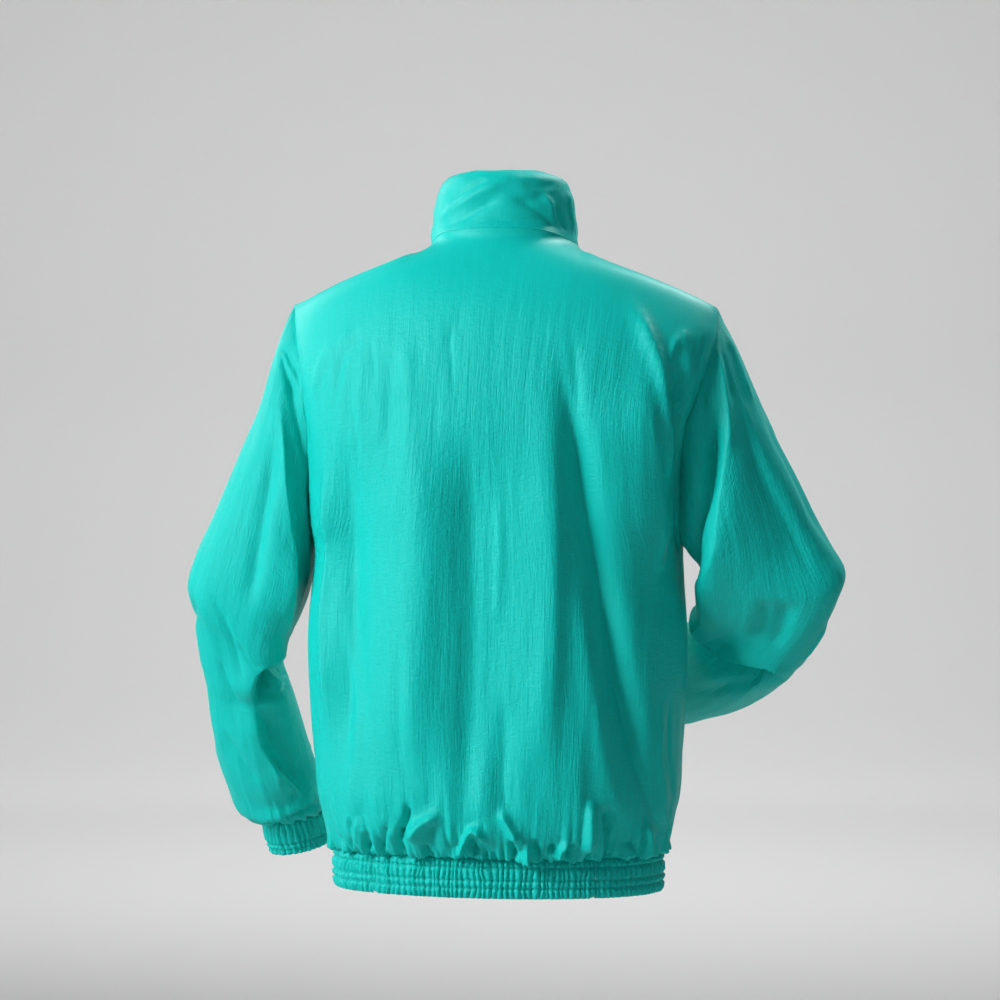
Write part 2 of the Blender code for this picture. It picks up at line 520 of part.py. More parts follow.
def hem_bands():
    """Three pieces of band: across the back, and from there round each side to the zip."""
    fine = np.linspace(0, 1, 120)
    halves = {}
    for side, sign in SIDES.items():
        back = section_line(BACK[0], side, 0.0, fine)
        front = section_line(FRONT[0], side, ZIP_HALF, fine)
        halves[side] = np.vstack([back, front[-2::-1]]) * (sign, 1, 1)
    lines = {}
    for side, half in halves.items():
        split = int(np.argmax(np.abs(half[:, 0]) > BACK_BAND_HALF))
        lines[side] = (half[:split + 1], half[split:])
    pieces = {"back": np.vstack([lines["right"][0][::-1], lines["left"][0][1:]]),
              "left": lines["left"][1], "right": lines["right"][1]}
    inset = CLOTH + BAND_INSET
    for seed, (name, line) in enumerate(pieces.items(), start=20):
        pleats = BACK_BAND_PLEATS if name == "back" else SIDE_BAND_PLEATS
        flat = line * (1, 1, 0)
        out = unit(np.cross(np.gradient(flat, axis=0), (0, 0, 1)))
        out *= np.sign((out * (flat - (0, 0.03, 0))).sum())
        length = np.linalg.norm(np.diff(line, axis=0), axis=1).sum()
        end = SEAM_SHIFT / length
        path = spaced(line - out * inset, np.linspace(end, 1 - end, 2 * pleats + 1))
        path[:, 2] = HEM_Z - SEAM_GAP - BAND_HEIGHT
        columns = len(path)
        way_out = unit(np.cross(np.gradient(path, axis=0), (0, 0, 1)))
        way_out *= np.sign((way_out * (path - (0, 0.03, 0))).sum())
        wave = np.where(np.arange(columns) % 2, 1.0, 0.0)
        wave *= np.random.default_rng(seed).uniform(0.75, 1.1, columns)
        outer = []
        for share, proud in ((0, 0.7), (0.45, 1.0), (1, 0.75)):
            swell = CLOTH + PLEAT * proud * wave + BAND_BULGE * 4 * share * (1 - share)
            outer.append(path + way_out * swell[:, None] + np.array((0, 0, share * BAND_HEIGHT)))
        wall("hem_band_" + name, np.array(outer), np.array([path, path + (0, 0, BAND_HEIGHT)]))


def cuffs():
    """An elastic cuff on the end of each sleeve, in line with it."""
    for seed, (side, sign) in enumerate(SIDES.items(), start=30):
        last = SLEEVE[side][-1]
        out_point = np.array(last[0:3]) * (sign, 1, 1)
        in_point = np.array(last[3:6]) * (sign, 1, 1)
        middle, across = (out_point + in_point) / 2, (out_point - in_point) / 2
        way = np.array(CUFF_WAY[side]) * (sign, 1, 1)
        depth = unit(np.cross(across, way)) * sign
        way = unit(np.cross(depth, across)) * sign
        turn = np.linspace(0, 2 * np.pi, 2 * CUFF_PLEATS, endpoint=False)
        wave = np.where(np.arange(2 * CUFF_PLEATS) % 2, 1.0, 0.0)
        wave *= np.random.default_rng(seed).uniform(0.75, 1.1, 2 * CUFF_PLEATS)
        inset = CLOTH + CUFF_INSET
        deep = np.where(np.sin(turn) > 0, last.back, last.front) - inset
        plain = (np.outer(np.cos(turn), unit(across) * (np.linalg.norm(across) - inset))
                 + np.outer(np.sin(turn) * deep, depth))
        start = middle + way * (SEAM_GAP + 0.0001)
        inner = np.array([start + plain, start + plain + way * CUFF_HEIGHT])
        outer = []
        for share, proud in ((0, 0.75), (0.5, 1.0), (1, 0.7)):
            swell = CLOTH + PLEAT * proud * wave + CUFF_BULGE * 4 * share * (1 - share)
            outer.append(start + plain + unit(plain) * swell[:, None] + way * (share * CUFF_HEIGHT))
        wall("cuff_" + side, np.array(outer), inner, closed=True)


# ---------------------------------------------------------------- zip

def zip_line(panels, side, away):
    """A line up the front beside the zip, this far from its middle and on the cloth's outer face."""
    front, collar = panels["front_" + side].grid, panels["collar"].grid
    edge, next_in = (collar[:, -1], collar[:, -2]) if side == "left" else (collar[:, 0], collar[:, 1])
    edge = np.vstack([front[:1, 0] - (0, 0, BAND_HEIGHT), front[:, 0], edge[1:]])
    next_in = np.vstack([front[:1, 1] - (0, 0, BAND_HEIGHT), front[:, 1], next_in[1:]])
    return edge + unit(next_in - edge) * (away - ZIP_HALF)


def zip_parts(panels):
    """The tapes behind the fronts' edges, and the chain of teeth in the slot between them."""
    middle = zip_line(panels, "left", ZIP_HALF) * (0, 1, 1)
    slope = unit(np.gradient(middle, axis=0))
    behind = np.stack([0 * slope[:, 0], slope[:, 2], -slope[:, 1]], axis=1)
    depth = np.full((len(middle), 1), ZIP_DEPTH)
    depth[:2] += BAND_INSET
    for side in SIDES:
        face = np.stack([zip_line(panels, side, away) + behind * depth
                         for away in (CHAIN_HALF + TAPE_CLEAR, CHAIN_HALF + TAPE_WIDTH)], axis=1)
        rear = face + behind[:, None] * TAPE_WALL
        wall("zip_tape_" + side, face, rear, colour=ZIP_TEAL, roughness=0.7)
    face = np.stack([middle + behind * (depth - CHAIN_PROUD) + (x, 0, 0)
                     for x in (-CHAIN_HALF, CHAIN_HALF)], axis=1)
    wall("zip_chain", face, face + behind[:, None] * CHAIN_WALL, colour=ZIP_TEAL, roughness=0.5)
    return middle, behind


def block(name, size, centre, collection):
    """A plain block round this centre."""
    mesh = bpy.data.meshes.new(name)
    edit = bmesh.new()
    bmesh.ops.create_cube(edit, size=1)
    bmesh.ops.scale(edit, vec=size, verts=edit.verts)
    bmesh.ops.translate(edit, vec=centre, verts=edit.verts)
    edit.to_mesh(mesh)
    edit.free()
    solid = bpy.data.objects.new(name, mesh)
    collection.objects.link(solid)
    return solid


def combine(solid, tool, operation):
    tool.hide_render = True
    tool.display_type = "WIRE"
    boolean = solid.modifiers.new(operation.lower(), "BOOLEAN")
    boolean.operation = operation
    boolean.object = tool


def crown_mesh(face_y):
    """The wire bow that stands on the slider's face."""
    curve = bpy.data.curves.new("crown", "CURVE")
    curve.dimensions = "3D"
    curve.bevel_depth = CROWN_WIRE
    curve.bevel_resolution = 1
    curve.use_fill_caps = True
    bow = curve.splines.new("POLY")
    turns = np.linspace(0, np.pi, 9)
    bow.points.add(len(turns) - 1)
    for point, turn in zip(bow.points, turns):
        point.co = (0, face_y + 0.0004 - (CROWN_RISE + 0.0004) * np.sin(turn), CROWN_HALF * np.cos(turn), 1)
    wire = bpy.data.objects.new("crown_wire", curve)
    cutters.objects.link(wire)
    mesh = bpy.data.meshes.new_from_object(wire.evaluated_get(bpy.context.evaluated_depsgraph_get()))
    bpy.data.objects.remove(wire, do_unlink=True)
    edit = bmesh.new()
    edit.from_mesh(mesh)
    bmesh.ops.remove_doubles(edit, verts=edit.verts, dist=1e-6)
    bmesh.ops.recalc_face_normals(edit, faces=edit.faces)
    edit.to_mesh(mesh)
    edit.free()
    return mesh


def slider_and_pull(middle, behind):
    """The slider at the top of the closed zip, and the pull that turns on the bar under its crown."""
    heights = np.concatenate([[0], np.cumsum(np.linalg.norm(np.diff(middle, axis=0), axis=1))])
    place = [np.interp(heights[-1] - SLIDER_BELOW_TOP, heights, middle[:, k]) for k in range(3)]
    inward = [np.interp(heights[-1] - SLIDER_BELOW_TOP, heights, behind[:, k]) for k in range(3)]
    tilt = np.arctan2(inward[2], inward[1])
    back_y = ZIP_DEPTH - CHAIN_PROUD - SEAM_GAP
    face_y = back_y - SLIDER[1]
    slider = block("zip_slider", SLIDER, (0, back_y - SLIDER[1] / 2, 0), jacket)
    crown = bpy.data.objects.new("crown", crown_mesh(face_y))
    cutters.objects.link(crown)
    combine(slider, crown, "UNION")
    axis_y = face_y - PULL_AXIS
    pull = block("zip_pull", PULL, (0, 0, PULL_BAR - PULL[2] / 2), jacket)
    hole_size = (PULL_HOLE[0], 2 * PULL[1], PULL_HOLE[1])
    hole = block("pull_hole", hole_size, (0, 0, -PULL_BAR - PULL_HOLE[1] / 2), cutters)
    combine(pull, hole, "DIFFERENCE")
    for thing, local_y in ((slider, 0), (crown, 0), (pull, axis_y), (hole, axis_y)):
        thing.location = np.array(place) + local_y * np.array((0, np.cos(tilt), np.sin(tilt)))
        thing.rotation_euler = (tilt, 0, 0)
    for thing in (slider, pull):
        thing.data.materials.append(plain_material(thing.name, METAL_GREY, 0.35, 1.0))


panels = lay_panels()
sew(panels)
hem_bands()
cuffs()
slider_and_pull(*zip_parts(panels))
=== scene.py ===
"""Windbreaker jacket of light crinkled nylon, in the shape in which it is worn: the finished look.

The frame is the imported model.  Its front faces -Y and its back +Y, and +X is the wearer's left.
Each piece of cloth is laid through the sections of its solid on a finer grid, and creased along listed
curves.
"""

from collections import namedtuple

import bpy
import numpy as np
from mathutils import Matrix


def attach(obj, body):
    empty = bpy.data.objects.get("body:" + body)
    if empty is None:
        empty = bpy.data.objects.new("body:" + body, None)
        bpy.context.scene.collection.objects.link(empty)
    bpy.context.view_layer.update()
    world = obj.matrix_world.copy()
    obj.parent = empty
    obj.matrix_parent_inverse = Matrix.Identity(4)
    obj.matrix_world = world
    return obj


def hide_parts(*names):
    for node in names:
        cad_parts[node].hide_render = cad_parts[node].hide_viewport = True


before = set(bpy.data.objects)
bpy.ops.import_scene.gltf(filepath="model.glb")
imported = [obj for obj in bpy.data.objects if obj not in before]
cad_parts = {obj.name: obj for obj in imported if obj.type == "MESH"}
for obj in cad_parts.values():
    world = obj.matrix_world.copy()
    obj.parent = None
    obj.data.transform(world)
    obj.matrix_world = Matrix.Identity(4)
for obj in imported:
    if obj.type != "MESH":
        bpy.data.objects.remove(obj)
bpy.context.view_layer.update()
bpy.ops.object.select_all(action="DESELECT")


# ---------------------------------------------------------------- body: back and two fronts
# The back is one panel with no yoke, and each front is one panel from the neck to the hem band.
# They are cut from thin crinkled nylon, and sewn together at the shoulders and down the sides.

HEM_Z = -0.670
BAND_HEIGHT = 0.041
BAND_INSET = 0.0035       # from the panels' lower edges in to the band
NECK_SIDE = (0.081, 0.000, -0.0095)
NAPE = (0.0, 0.062, 0.0)
PIT = (0.0, -0.080, -0.075)          # of the neck, at the front
ZIP_HALF = 0.0045         # from the middle to each front's edge
NECK_SHARE = 0.36         # share of a half panel's width that runs up to the neck
NYLON = 0.0007            # the cloth with its folds
PUFF = 0.0010             # how far the cloth stands out beside a seam
TURQUOISE = (0.0005, 0.600, 0.540)
FINE_STEPS = 600          # points on a line before it is spaced out
SHOULDER_RUN = 16         # columns over which the neck's edge turns into the shoulder's
SIDE_MELD = 1 / 14        # share of a panel's width that is drawn to its side seam

# Sections of the body, from the middle of a panel to its side seam or armhole.
Section = namedtuple("Section", "mid_z mid_y edge_z edge_y left_x right_x ease_mid ease_edge")
BACK = [
    Section(-0.670, 0.138, -0.670, 0.030, 0.1840, 0.1800, 0.56, 0.60),
    Section(-0.650, 0.152, -0.650, 0.030, 0.1890, 0.1850, 0.58, 0.62),
    Section(-0.615, 0.160, -0.615, 0.030, 0.1980, 0.1930, 0.58, 0.64),
    Section(-0.560, 0.162, -0.560, 0.030, 0.2040, 0.1990, 0.58, 0.64),
    Section(-0.445, 0.158, -0.445, 0.030, 0.2110, 0.2045, 0.58, 0.64),
    Section(-0.335, 0.155, -0.335, 0.030, 0.2045, 0.2005, 0.58, 0.64),
    Section(-0.308, 0.154, -0.320, 0.045, 0.2043, 0.2012, 0.58, 0.65),
    Section(-0.270, 0.152, -0.275, 0.055, 0.2040, 0.2035, 0.58, 0.66),
    Section(-0.200, 0.147, -0.210, 0.072, 0.2035, 0.2125, 0.58, 0.66),
    Section(-0.130, 0.134, -0.155, 0.070, 0.2105, 0.2320, 0.58, 0.62),
    Section(-0.070, 0.110, -0.115, 0.052, 0.2215, 0.2410, 0.60, 0.55),
    Section(-0.028, 0.082, -0.088, 0.032, 0.2295, 0.2390, 0.62, 0.50),
]
FRONT = [
    Section(-0.670, -0.090, -0.670, 0.030, 0.1840, 0.1800, 0.56, 0.60),
    Section(-0.650, -0.104, -0.650, 0.030, 0.1890, 0.1850, 0.58, 0.62),
    Section(-0.615, -0.110, -0.615, 0.030, 0.1980, 0.1930, 0.58, 0.64),
    Section(-0.560, -0.111, -0.560, 0.030, 0.2040, 0.1990, 0.58, 0.64),
    Section(-0.445, -0.112, -0.445, 0.030, 0.2110, 0.2045, 0.58, 0.64),
    Section(-0.335, -0.117, -0.335, 0.030, 0.2045, 0.2005, 0.58, 0.64),
    Section(-0.308, -0.118, -0.320, 0.008, 0.2037, 0.2003, 0.58, 0.63),
    Section(-0.275, -0.118, -0.275, -0.012, 0.2020, 0.2000, 0.58, 0.62),
    Section(-0.215, -0.117, -0.210, -0.034, 0.2020, 0.2080, 0.58, 0.60),
    Section(-0.165, -0.112, -0.155, -0.032, 0.2090, 0.2230, 0.58, 0.58),
    Section(-0.125, -0.102, -0.115, -0.012, 0.2210, 0.2350, 0.58, 0.55),
    Section(-0.096, -0.091, -0.088, 0.006, 0.2290, 0.2370, 0.60, 0.50),
]
UNDERARM = 5              # the section at the foot of the armhole
SHOULDER_POINT = {"left": (0.2335, 0.020, -0.0735), "right": (0.2345, 0.020, -0.0860)}
SHOULDER_SAG = {"left": 0.0065, "right": 0.0095}
SIDES = {"left": 1, "right": -1}

# A crease is a ridge, or a trough where height is below 0, along a curve through its points.  The
# cloth falls away over 'right' and 'left' on those hands of someone who walks along the curve on
# the outside of the cloth.  Where drop isn't 0 the left hand is tucked under: the cloth falls at
# once to that depth and comes back over 'left'.  Power 2 is a soft crease, and 1 a crisp one.
# All in millimetres.
Crease = namedtuple("Crease", "path right left height drop power", defaults=(0, 2))
CREASE_STEPS = 6          # straight runs to each point of a crease's path
CREASE_TAPER = 0.28       # share of its length over which each end dies out
TUCK_LIP = 0.0028         # the rounded edge of a tuck
TUCK_START = 0.0030       # how far behind that edge the cloth starts to come back
BACK_CREASES = [
    Crease(((-82, 123, -111), (-91, 136, -164), (-102, 140, -217), (-112, 138, -269),
            (-120, 135, -311), (-128, 130, -353), (-136, 128, -395), (-143, 124, -442),
            (-150, 118, -490), (-159, 111, -532), (-167, 103, -581), (-175, 82, -625),
            (-179, 55, -659)), 22, 13, -18.9, 0, 1.2),
    Crease(((-107, 119, -111), (-121, 131, -185), (-133, 130, -258), (-141, 121, -332),
            (-151, 118, -395), (-161, 109, -459), (-170, 103, -522), (-177, 91, -587),
            (-180, 68, -642)), 10, 20, 1.7, 0, 1.6),
    Crease(((-104, 140, -353), (-116, 136, -447), (-128, 133, -521), (-138, 126, -584),
            (-146, 102, -650)), 12, 9, 3.4),
    Crease(((7, 144, -195), (3, 151, -269), (1, 156, -353), (0, 157, -416), (0, 161, -479),
            (4, 161, -563), (11, 152, -643)), 24, 52, -12.6, 0, 1.9),
    Crease(((-76, 123, -110), (-82, 140, -185), (-84, 145, -269), (-84, 146, -353), (-83, 150, -437),
            (-82, 154, -520), (-80, 155, -604)), 24, 13, 7.2),
    Crease(((-32, 161, -489), (-35, 163, -541), (-33, 163, -593), (-37, 160, -625), (-44, 155, -646)),
           9, 10, -3.4, 0, 1.5),
    Crease(((-24, 151, -269), (-25, 155, -353), (-21, 158, -437)), 6, 6, 1.7),
    Crease(((62, 145, -184), (59, 151, -269), (60, 151, -353), (63, 151, -438), (66, 153, -522),
            (66, 152, -596)), 34, 26, 8.3),
    Crease(((173, 115, -225), (174, 109, -312), (175, 102, -398), (172, 110, -484), (167, 112, -559)),
           7, 10, 8.1, 0, 1.5),
    Crease(((145, 128, -204), (143, 129, -279), (143, 124, -354), (143, 133, -439), (146, 131, -525),
            (147, 127, -600)), 17, 24, -11.7, 0, 1.8),
    Crease(((151, 122, -397), (144, 132, -461), (137, 137, -525), (130, 138, -599)), 7, 11, 2.9),
    Crease(((78, 147, -417), (78, 149, -502), (77, 150, -565), (70, 151, -597)), 6, 5, -1.8),
    Crease(((93, 118, -103), (81, 131, -130), (73, 144, -184), (72, 150, -237), (75, 151, -290)),
           9, 10, 2.1),
    Crease(((104, 121, -119), (97, 138, -184), (98, 143, -248)), 7, 7, -1),
    Crease(((133, 109, -107), (153, 107, -116), (170, 105, -130), (181, 106, -152), (188, 104, -182)),
           5, 5, 2.5),
    Crease(((112, 116, -108), (135, 114, -118), (150, 113, -131), (156, 118, -156), (154, 123, -183)),
           5, 4, -2.3),
    Crease(((120, 119, -124), (112, 132, -164)), 3, 3, -1.1),
    Crease(((142, 126, -178), (134, 132, -215), (132, 134, -258)), 4, 3, -1.3),
    Crease(((7, 119, -90), (23, 123, -99), (30, 127, -115), (29, 135, -142), (23, 141, -179)),
           5, 3, -1.8, 0, 1.4),
    Crease(((-101, 122, -116), (-106, 133, -164), (-110, 136, -206)), 5, 4, -2.1),
    Crease(((-168, 118, -143), (-181, 119, -206), (-185, 105, -269), (-182, 87, -332),
            (-180, 92, -396)), 40, 12, 11.7, 0, 1.7),
    Crease(((-143, 94, -76), (-167, 99, -100), (-183, 107, -127), (-193, 112, -159), (-197, 108, -201),
            (-197, 98, -248), (-194, 90, -290)), 8, 7, 9, 0, 1.6),
    Crease(((-222, 82, -123), (-212, 87, -117), (-204, 95, -123), (-200, 103, -138)), 4, 4, 3.4),
    Crease(((-206, 96, -129), (-209, 98, -185), (-207, 70, -237), (-202, 59, -290), (-201, 36, -353)),
           9, 6, -16.2, 0, 1.6),
    Crease(((-231, 71, -118), (-229, 80, -133), (-225, 86, -153)), 3, 2.5, -2.9),
    Crease(((-221, 85, -126), (-223, 86, -142), (-221, 90, -158)), 2.5, 2.5, -2.3),
    Crease(((-188, 84, -492), (-185, 83, -566), (-182, 53, -649)), 5, 5, 3.4),
    Crease(((-194, 73, -492), (-192, 67, -567), (-187, 34, -640)), 4, 4, -3.4),
    Crease(((34, 157, -618), (55, 149, -632), (73, 142, -648)), 7, 6, 10.8),
    Crease(((66, 151, -610), (76, 146, -634), (87, 136, -653)), 4, 3, -9),
    Crease(((94, 145, -629), (103, 138, -652), (107, 121, -667)), 4, 3, -7.2, 0, 1.3),
    Crease(((78, 146, -635), (84, 137, -653), (80, 130, -668)), 4, 3, -7.2, 0, 1.3),
    Crease(((54, 145, -648), (50, 139, -661), (44, 136, -668)), 5, 3, -9, 0, 1.3),
    Crease(((2, 155, -643), (2, 146, -657), (-2, 142, -664)), 4, 3, -9.9, 0, 1.3),
    Crease(((19, 138, -669), (11, 148, -648), (0, 157, -636), (-9, 157, -639), (-10, 148, -656)),
           3, 3, 10.8),
    Crease(((-27, 162, -617), (-39, 158, -634), (-49, 150, -651)), 5, 4, 9),
    Crease(((-39, 156, -644), (-42, 145, -658), (-42, 139, -666)), 4, 3, -9, 0, 1.3),
    Crease(((-56, 154, -646), (-55, 134, -669)), 3, 3, 9),
    Crease(((-63, 154, -644), (-66, 143, -658), (-66, 136, -666)), 3, 3, -8.1, 0, 1.3),
    Crease(((-81, 145, -649), (-79, 135, -663)), 3, 3, -7.2),
    Crease(((-85, 128, -667), (-93, 138, -649), (-102, 135, -647)), 3, 3, 7.2),
    Crease(((-101, 137, -645), (-94, 131, -658), (-92, 127, -666)), 3, 4, -8.1, 0, 1.3),
    Crease(((-120, 133, -600), (-116, 127, -637), (-113, 120, -661)), 7, 7, 10.8),
    Crease(((-133, 127, -605), (-136, 120, -640), (-135, 108, -663)), 4, 9, -11.7, 0, 1.4),
    Crease(((-150, 99, -650), (-151, 94, -664)), 4, 4, 7.2),
    Crease(((-169, 90, -629), (-165, 77, -668)), 5, 5, 7.2),
    Crease(((-160, 95, -645), (-156, 89, -664)), 3, 3, -7.2),
    Crease(((140, 126, -628), (140, 104, -666)), 4, 4, -7.2),
    Crease(((123, 131, -642), (122, 116, -666)), 3, 3, -7.2),
    Crease(((130, 132, -629), (135, 107, -666)), 3, 3, 3.4),
]


def unit(vectors):
    """The same ways, each of length 1."""
    return vectors / np.linalg.norm(vectors, axis=-1, keepdims=True)


def smooth(share):
    """0 up to 0, 1 from 1 on, and eased between them."""
    share = np.clip(share, 0, 1)
    return share * share * (3 - 2 * share)


def fade(away, reach, power=1):
    """1 at no distance, and dying out over this reach: at once with power 1, like a bell with 2."""
    return np.exp(-(away / reach)**power)


def spline(knots, points, at):
    """A smooth curve through the points at their knots, read at 'at'."""
    gaps = np.diff(knots)
    shape = (-1,) + (1,) * (points.ndim - 1)
    slope = np.diff(points, axis=0) / gaps.reshape(shape)
    near = (gaps[1:] / (gaps[1:] + gaps[:-1])).reshape(shape)
    tangent = np.empty_like(points)
    tangent[1:-1] = slope[:-1] * near + slope[1:] * (1 - near)
    tangent[0] = 1.5 * slope[0] - 0.5 * tangent[1]
    tangent[-1] = 1.5 * slope[-1] - 0.5 * tangent[-2]
    span = np.clip(np.searchsorted(knots, at, side="right") - 1, 0, len(gaps) - 1)
    u = ((at - knots[span]) / gaps[span]).reshape(shape)
    gap = gaps[span].reshape(shape)
    return ((2 * u**3 - 3 * u**2 + 1) * points[span] + (3 * u**2 - 2 * u**3) * points[span + 1]
            + (u**3 - 2 * u**2 + u) * gap * tangent[span] + (u**3 - u**2) * gap * tangent[span + 1])


def travelled(line):
    """How far along a line each of its points is, or along a grid each of its rows."""
    steps = np.linalg.norm(np.diff(line, axis=0), axis=-1)
    if steps.ndim > 1:
        steps = steps.mean(axis=1)
    return np.concatenate([[0], np.cumsum(steps)])


def read_at(distance, along, values):
    """The values at these distances, where 'along' says how far along each of them is."""
    return np.stack([np.interp(distance, along, column) for column in values.T], axis=1)


def spaced(line, shares):
    """Points at these shares of the length of a line."""
    along = travelled(line)
    return read_at(np.asarray(shares) * along[-1], along, line)


def section_line(section, side, start_x, shares):
    """Half a section of the body, from the panel's middle to its edge."""
    edge_x = section.left_x if side == "left" else section.right_x
    corners = np.array([
        (start_x, section.mid_y, section.mid_z),
        (start_x + section.ease_mid * (edge_x - start_x), section.mid_y, section.mid_z),
        (edge_x, section.edge_y + section.ease_edge * (section.mid_y - section.edge_y), section.edge_z),
        (edge_x, section.edge_y, section.edge_z)])
    u = np.linspace(0, 1, FINE_STEPS)[:, None]
    line = ((1 - u)**3 * corners[0] + 3 * (1 - u)**2 * u * corners[1]
            + 3 * (1 - u) * u**2 * corners[2] + u**3 * corners[3])
    return spaced(line, shares)


def neck_line(low, start_x, shares):
    """A quarter of the neck seam, from the nape or the pit of the neck to the side of the neck."""
    turn = np.linspace(0, np.pi / 2, FINE_STEPS)
    line = np.stack([NECK_SIDE[0] * np.sin(turn), low[1] * np.cos(turn),
                     NECK_SIDE[2] + (low[2] - NECK_SIDE[2]) * np.cos(turn)**1.5], axis=1)
    if start_x > 0:
        line = line[int(np.argmax(line[:, 0] > start_x)) - 1:]
        line[0, 0] = start_x
    return spaced(line, shares)


def shoulder_line(side, shares):
    """The shoulder seam, from the neck out, a little hollow."""
    shares = np.asarray(shares)[:, None]
    line = np.array(NECK_SIDE) + (np.array(SHOULDER_POINT[side]) - np.array(NECK_SIDE)) * shares
    line[:, 2] -= SHOULDER_SAG[side] * np.sin(np.pi * shares[:, 0]**0.6)
    return line


def body_half(side, below, above, neck_steps=65, shoulder_steps=125):
    """The back and front grids of one side: rows up from the hem, columns from the middle out.
    'below' and 'above' are the rows' shares of the way to the underarm and on to the shoulder."""
    shares = np.concatenate([np.linspace(0, NECK_SHARE, neck_steps + 1),
                             np.linspace(NECK_SHARE, 1, shoulder_steps + 1)[1:]])
    sections = []
    for table, low, start_x in ((BACK, NAPE, 0.0), (FRONT, PIT, ZIP_HALF)):
        rows = [section_line(section, side, start_x, shares) for section in table]
        rows.append(np.vstack([neck_line(low, start_x, np.linspace(0, 1, neck_steps + 1)),
                               shoulder_line(side, np.linspace(0, 1, shoulder_steps + 1)[1:])]))
        sections.append(np.array(rows))
    steps = sum(np.linalg.norm(np.diff(rows, axis=0), axis=2).mean(axis=1) for rows in sections) / 2
    knots = np.concatenate([[0], np.cumsum(steps), [steps.sum() + steps[-1]]])
    armhole_height = knots[-2] - knots[UNDERARM]
    heights = np.concatenate([below * knots[UNDERARM], knots[UNDERARM] + above[1:] * armhole_height])
    grids = []
    for mine, other in (sections, sections[::-1]):
        # A row past the shoulder seam lets the panel run smoothly over into the other one.
        beyond = 2 * mine[-1] - mine[-2]
        reach = np.linalg.norm(mine[-1] - mine[-2], axis=1, keepdims=True)
        onward = mine[-1] + unit(other[-2] - other[-1]) * reach
        on_shoulder = smooth((np.arange(len(beyond)) - neck_steps) / SHOULDER_RUN)[:, None]
        beyond = beyond * (1 - on_shoulder) + onward * on_shoulder
        grids.append(spline(knots, np.concatenate([mine, beyond[None]]), heights))
    back, front = grids
    side_rows = len(below)
    near_edge = smooth(1 - (shares[-1] - shares) / SIDE_MELD)[:, None]
    seam = (back[:side_rows, -1] + front[:side_rows, -1]) / 2
    for grid in grids:
        grid[:side_rows] += near_edge * (seam - grid[:side_rows, -1])[:, None]
    front[-1, neck_steps:] = back[-1, neck_steps:]
    return back, front


def grid_normals(grid, closed=False):
    """The outward normal at each point of a grid."""
    if closed:
        around = np.roll(grid, -1, axis=1) - np.roll(grid, 1, axis=1)
    else:
        around = np.gradient(grid, axis=1)
    normal = unit(np.cross(around, np.gradient(grid, axis=0)))
    return normal * np.sign((normal * (grid - grid.mean(axis=(0, 1)))).sum())


def cloth_map(grid):
    """How far each point lies round the cloth and along it, in metres."""
    steps = np.linalg.norm(np.diff(grid, axis=1), axis=2).mean(axis=0)
    return np.meshgrid(np.concatenate([[0], np.cumsum(steps)]), travelled(grid))


def noise(u, v, cell_u, cell_v, seed, around=0.0):
    """Smooth seeded lumps of this size, about -1 to 1.  On a tube they meet after 'around'."""
    if around:
        count = max(3, round(around / cell_u))
        a = u / around * count
    else:
        a = (u - u.min()) / cell_u
        count = int(a.max()) + 2
    b = (v - v.min()) / cell_v
    lumps = np.random.default_rng(seed).uniform(-1, 1, (count, int(b.max()) + 2))
    i, j = np.floor(a).astype(int), np.floor(b).astype(int)
    s, t = smooth(a - i), smooth(b - j)
    i, next_i = i % count, (i + 1) % count
    low = lumps[i, j] * (1 - s) + lumps[next_i, j] * s
    high = lumps[i, j + 1] * (1 - s) + lumps[next_i, j + 1] * s
    return low * (1 - t) + high * t


def billow(u, v, cell_u, cell_v, seed, around=0.0):
    """Rounded puffs of this size with sharp valleys between them, about -0.5 to 1."""
    return 1.7 * np.abs(noise(u, v, cell_u, cell_v, seed, around)) - 0.55


# The crinkle's streaks and lumps.
Streak = namedtuple("Streak", "height width length seed")
STREAKS = [
    Streak(0.00010, 0.0036, 0.040, 1),
    Streak(0.00026, 0.0070, 0.080, 2),
    Streak(0.00048, 0.0140, 0.130, 3),
    Streak(0.00060, 0.0320, 0.180, 5),
    Streak(0.00016, 0.0200, 0.016, 4),
]


def crinkle(u, v, seed, around=0.0):
    """Streaks that run along the cloth, each a few millimetres wide, wandering a little."""
    u = u + 0.0030 * noise(u, v, 0.045, 0.090, seed, around)
    return sum(streak.height * noise(u, v, streak.width, streak.length, seed + streak.seed, around)
               for streak in STREAKS)


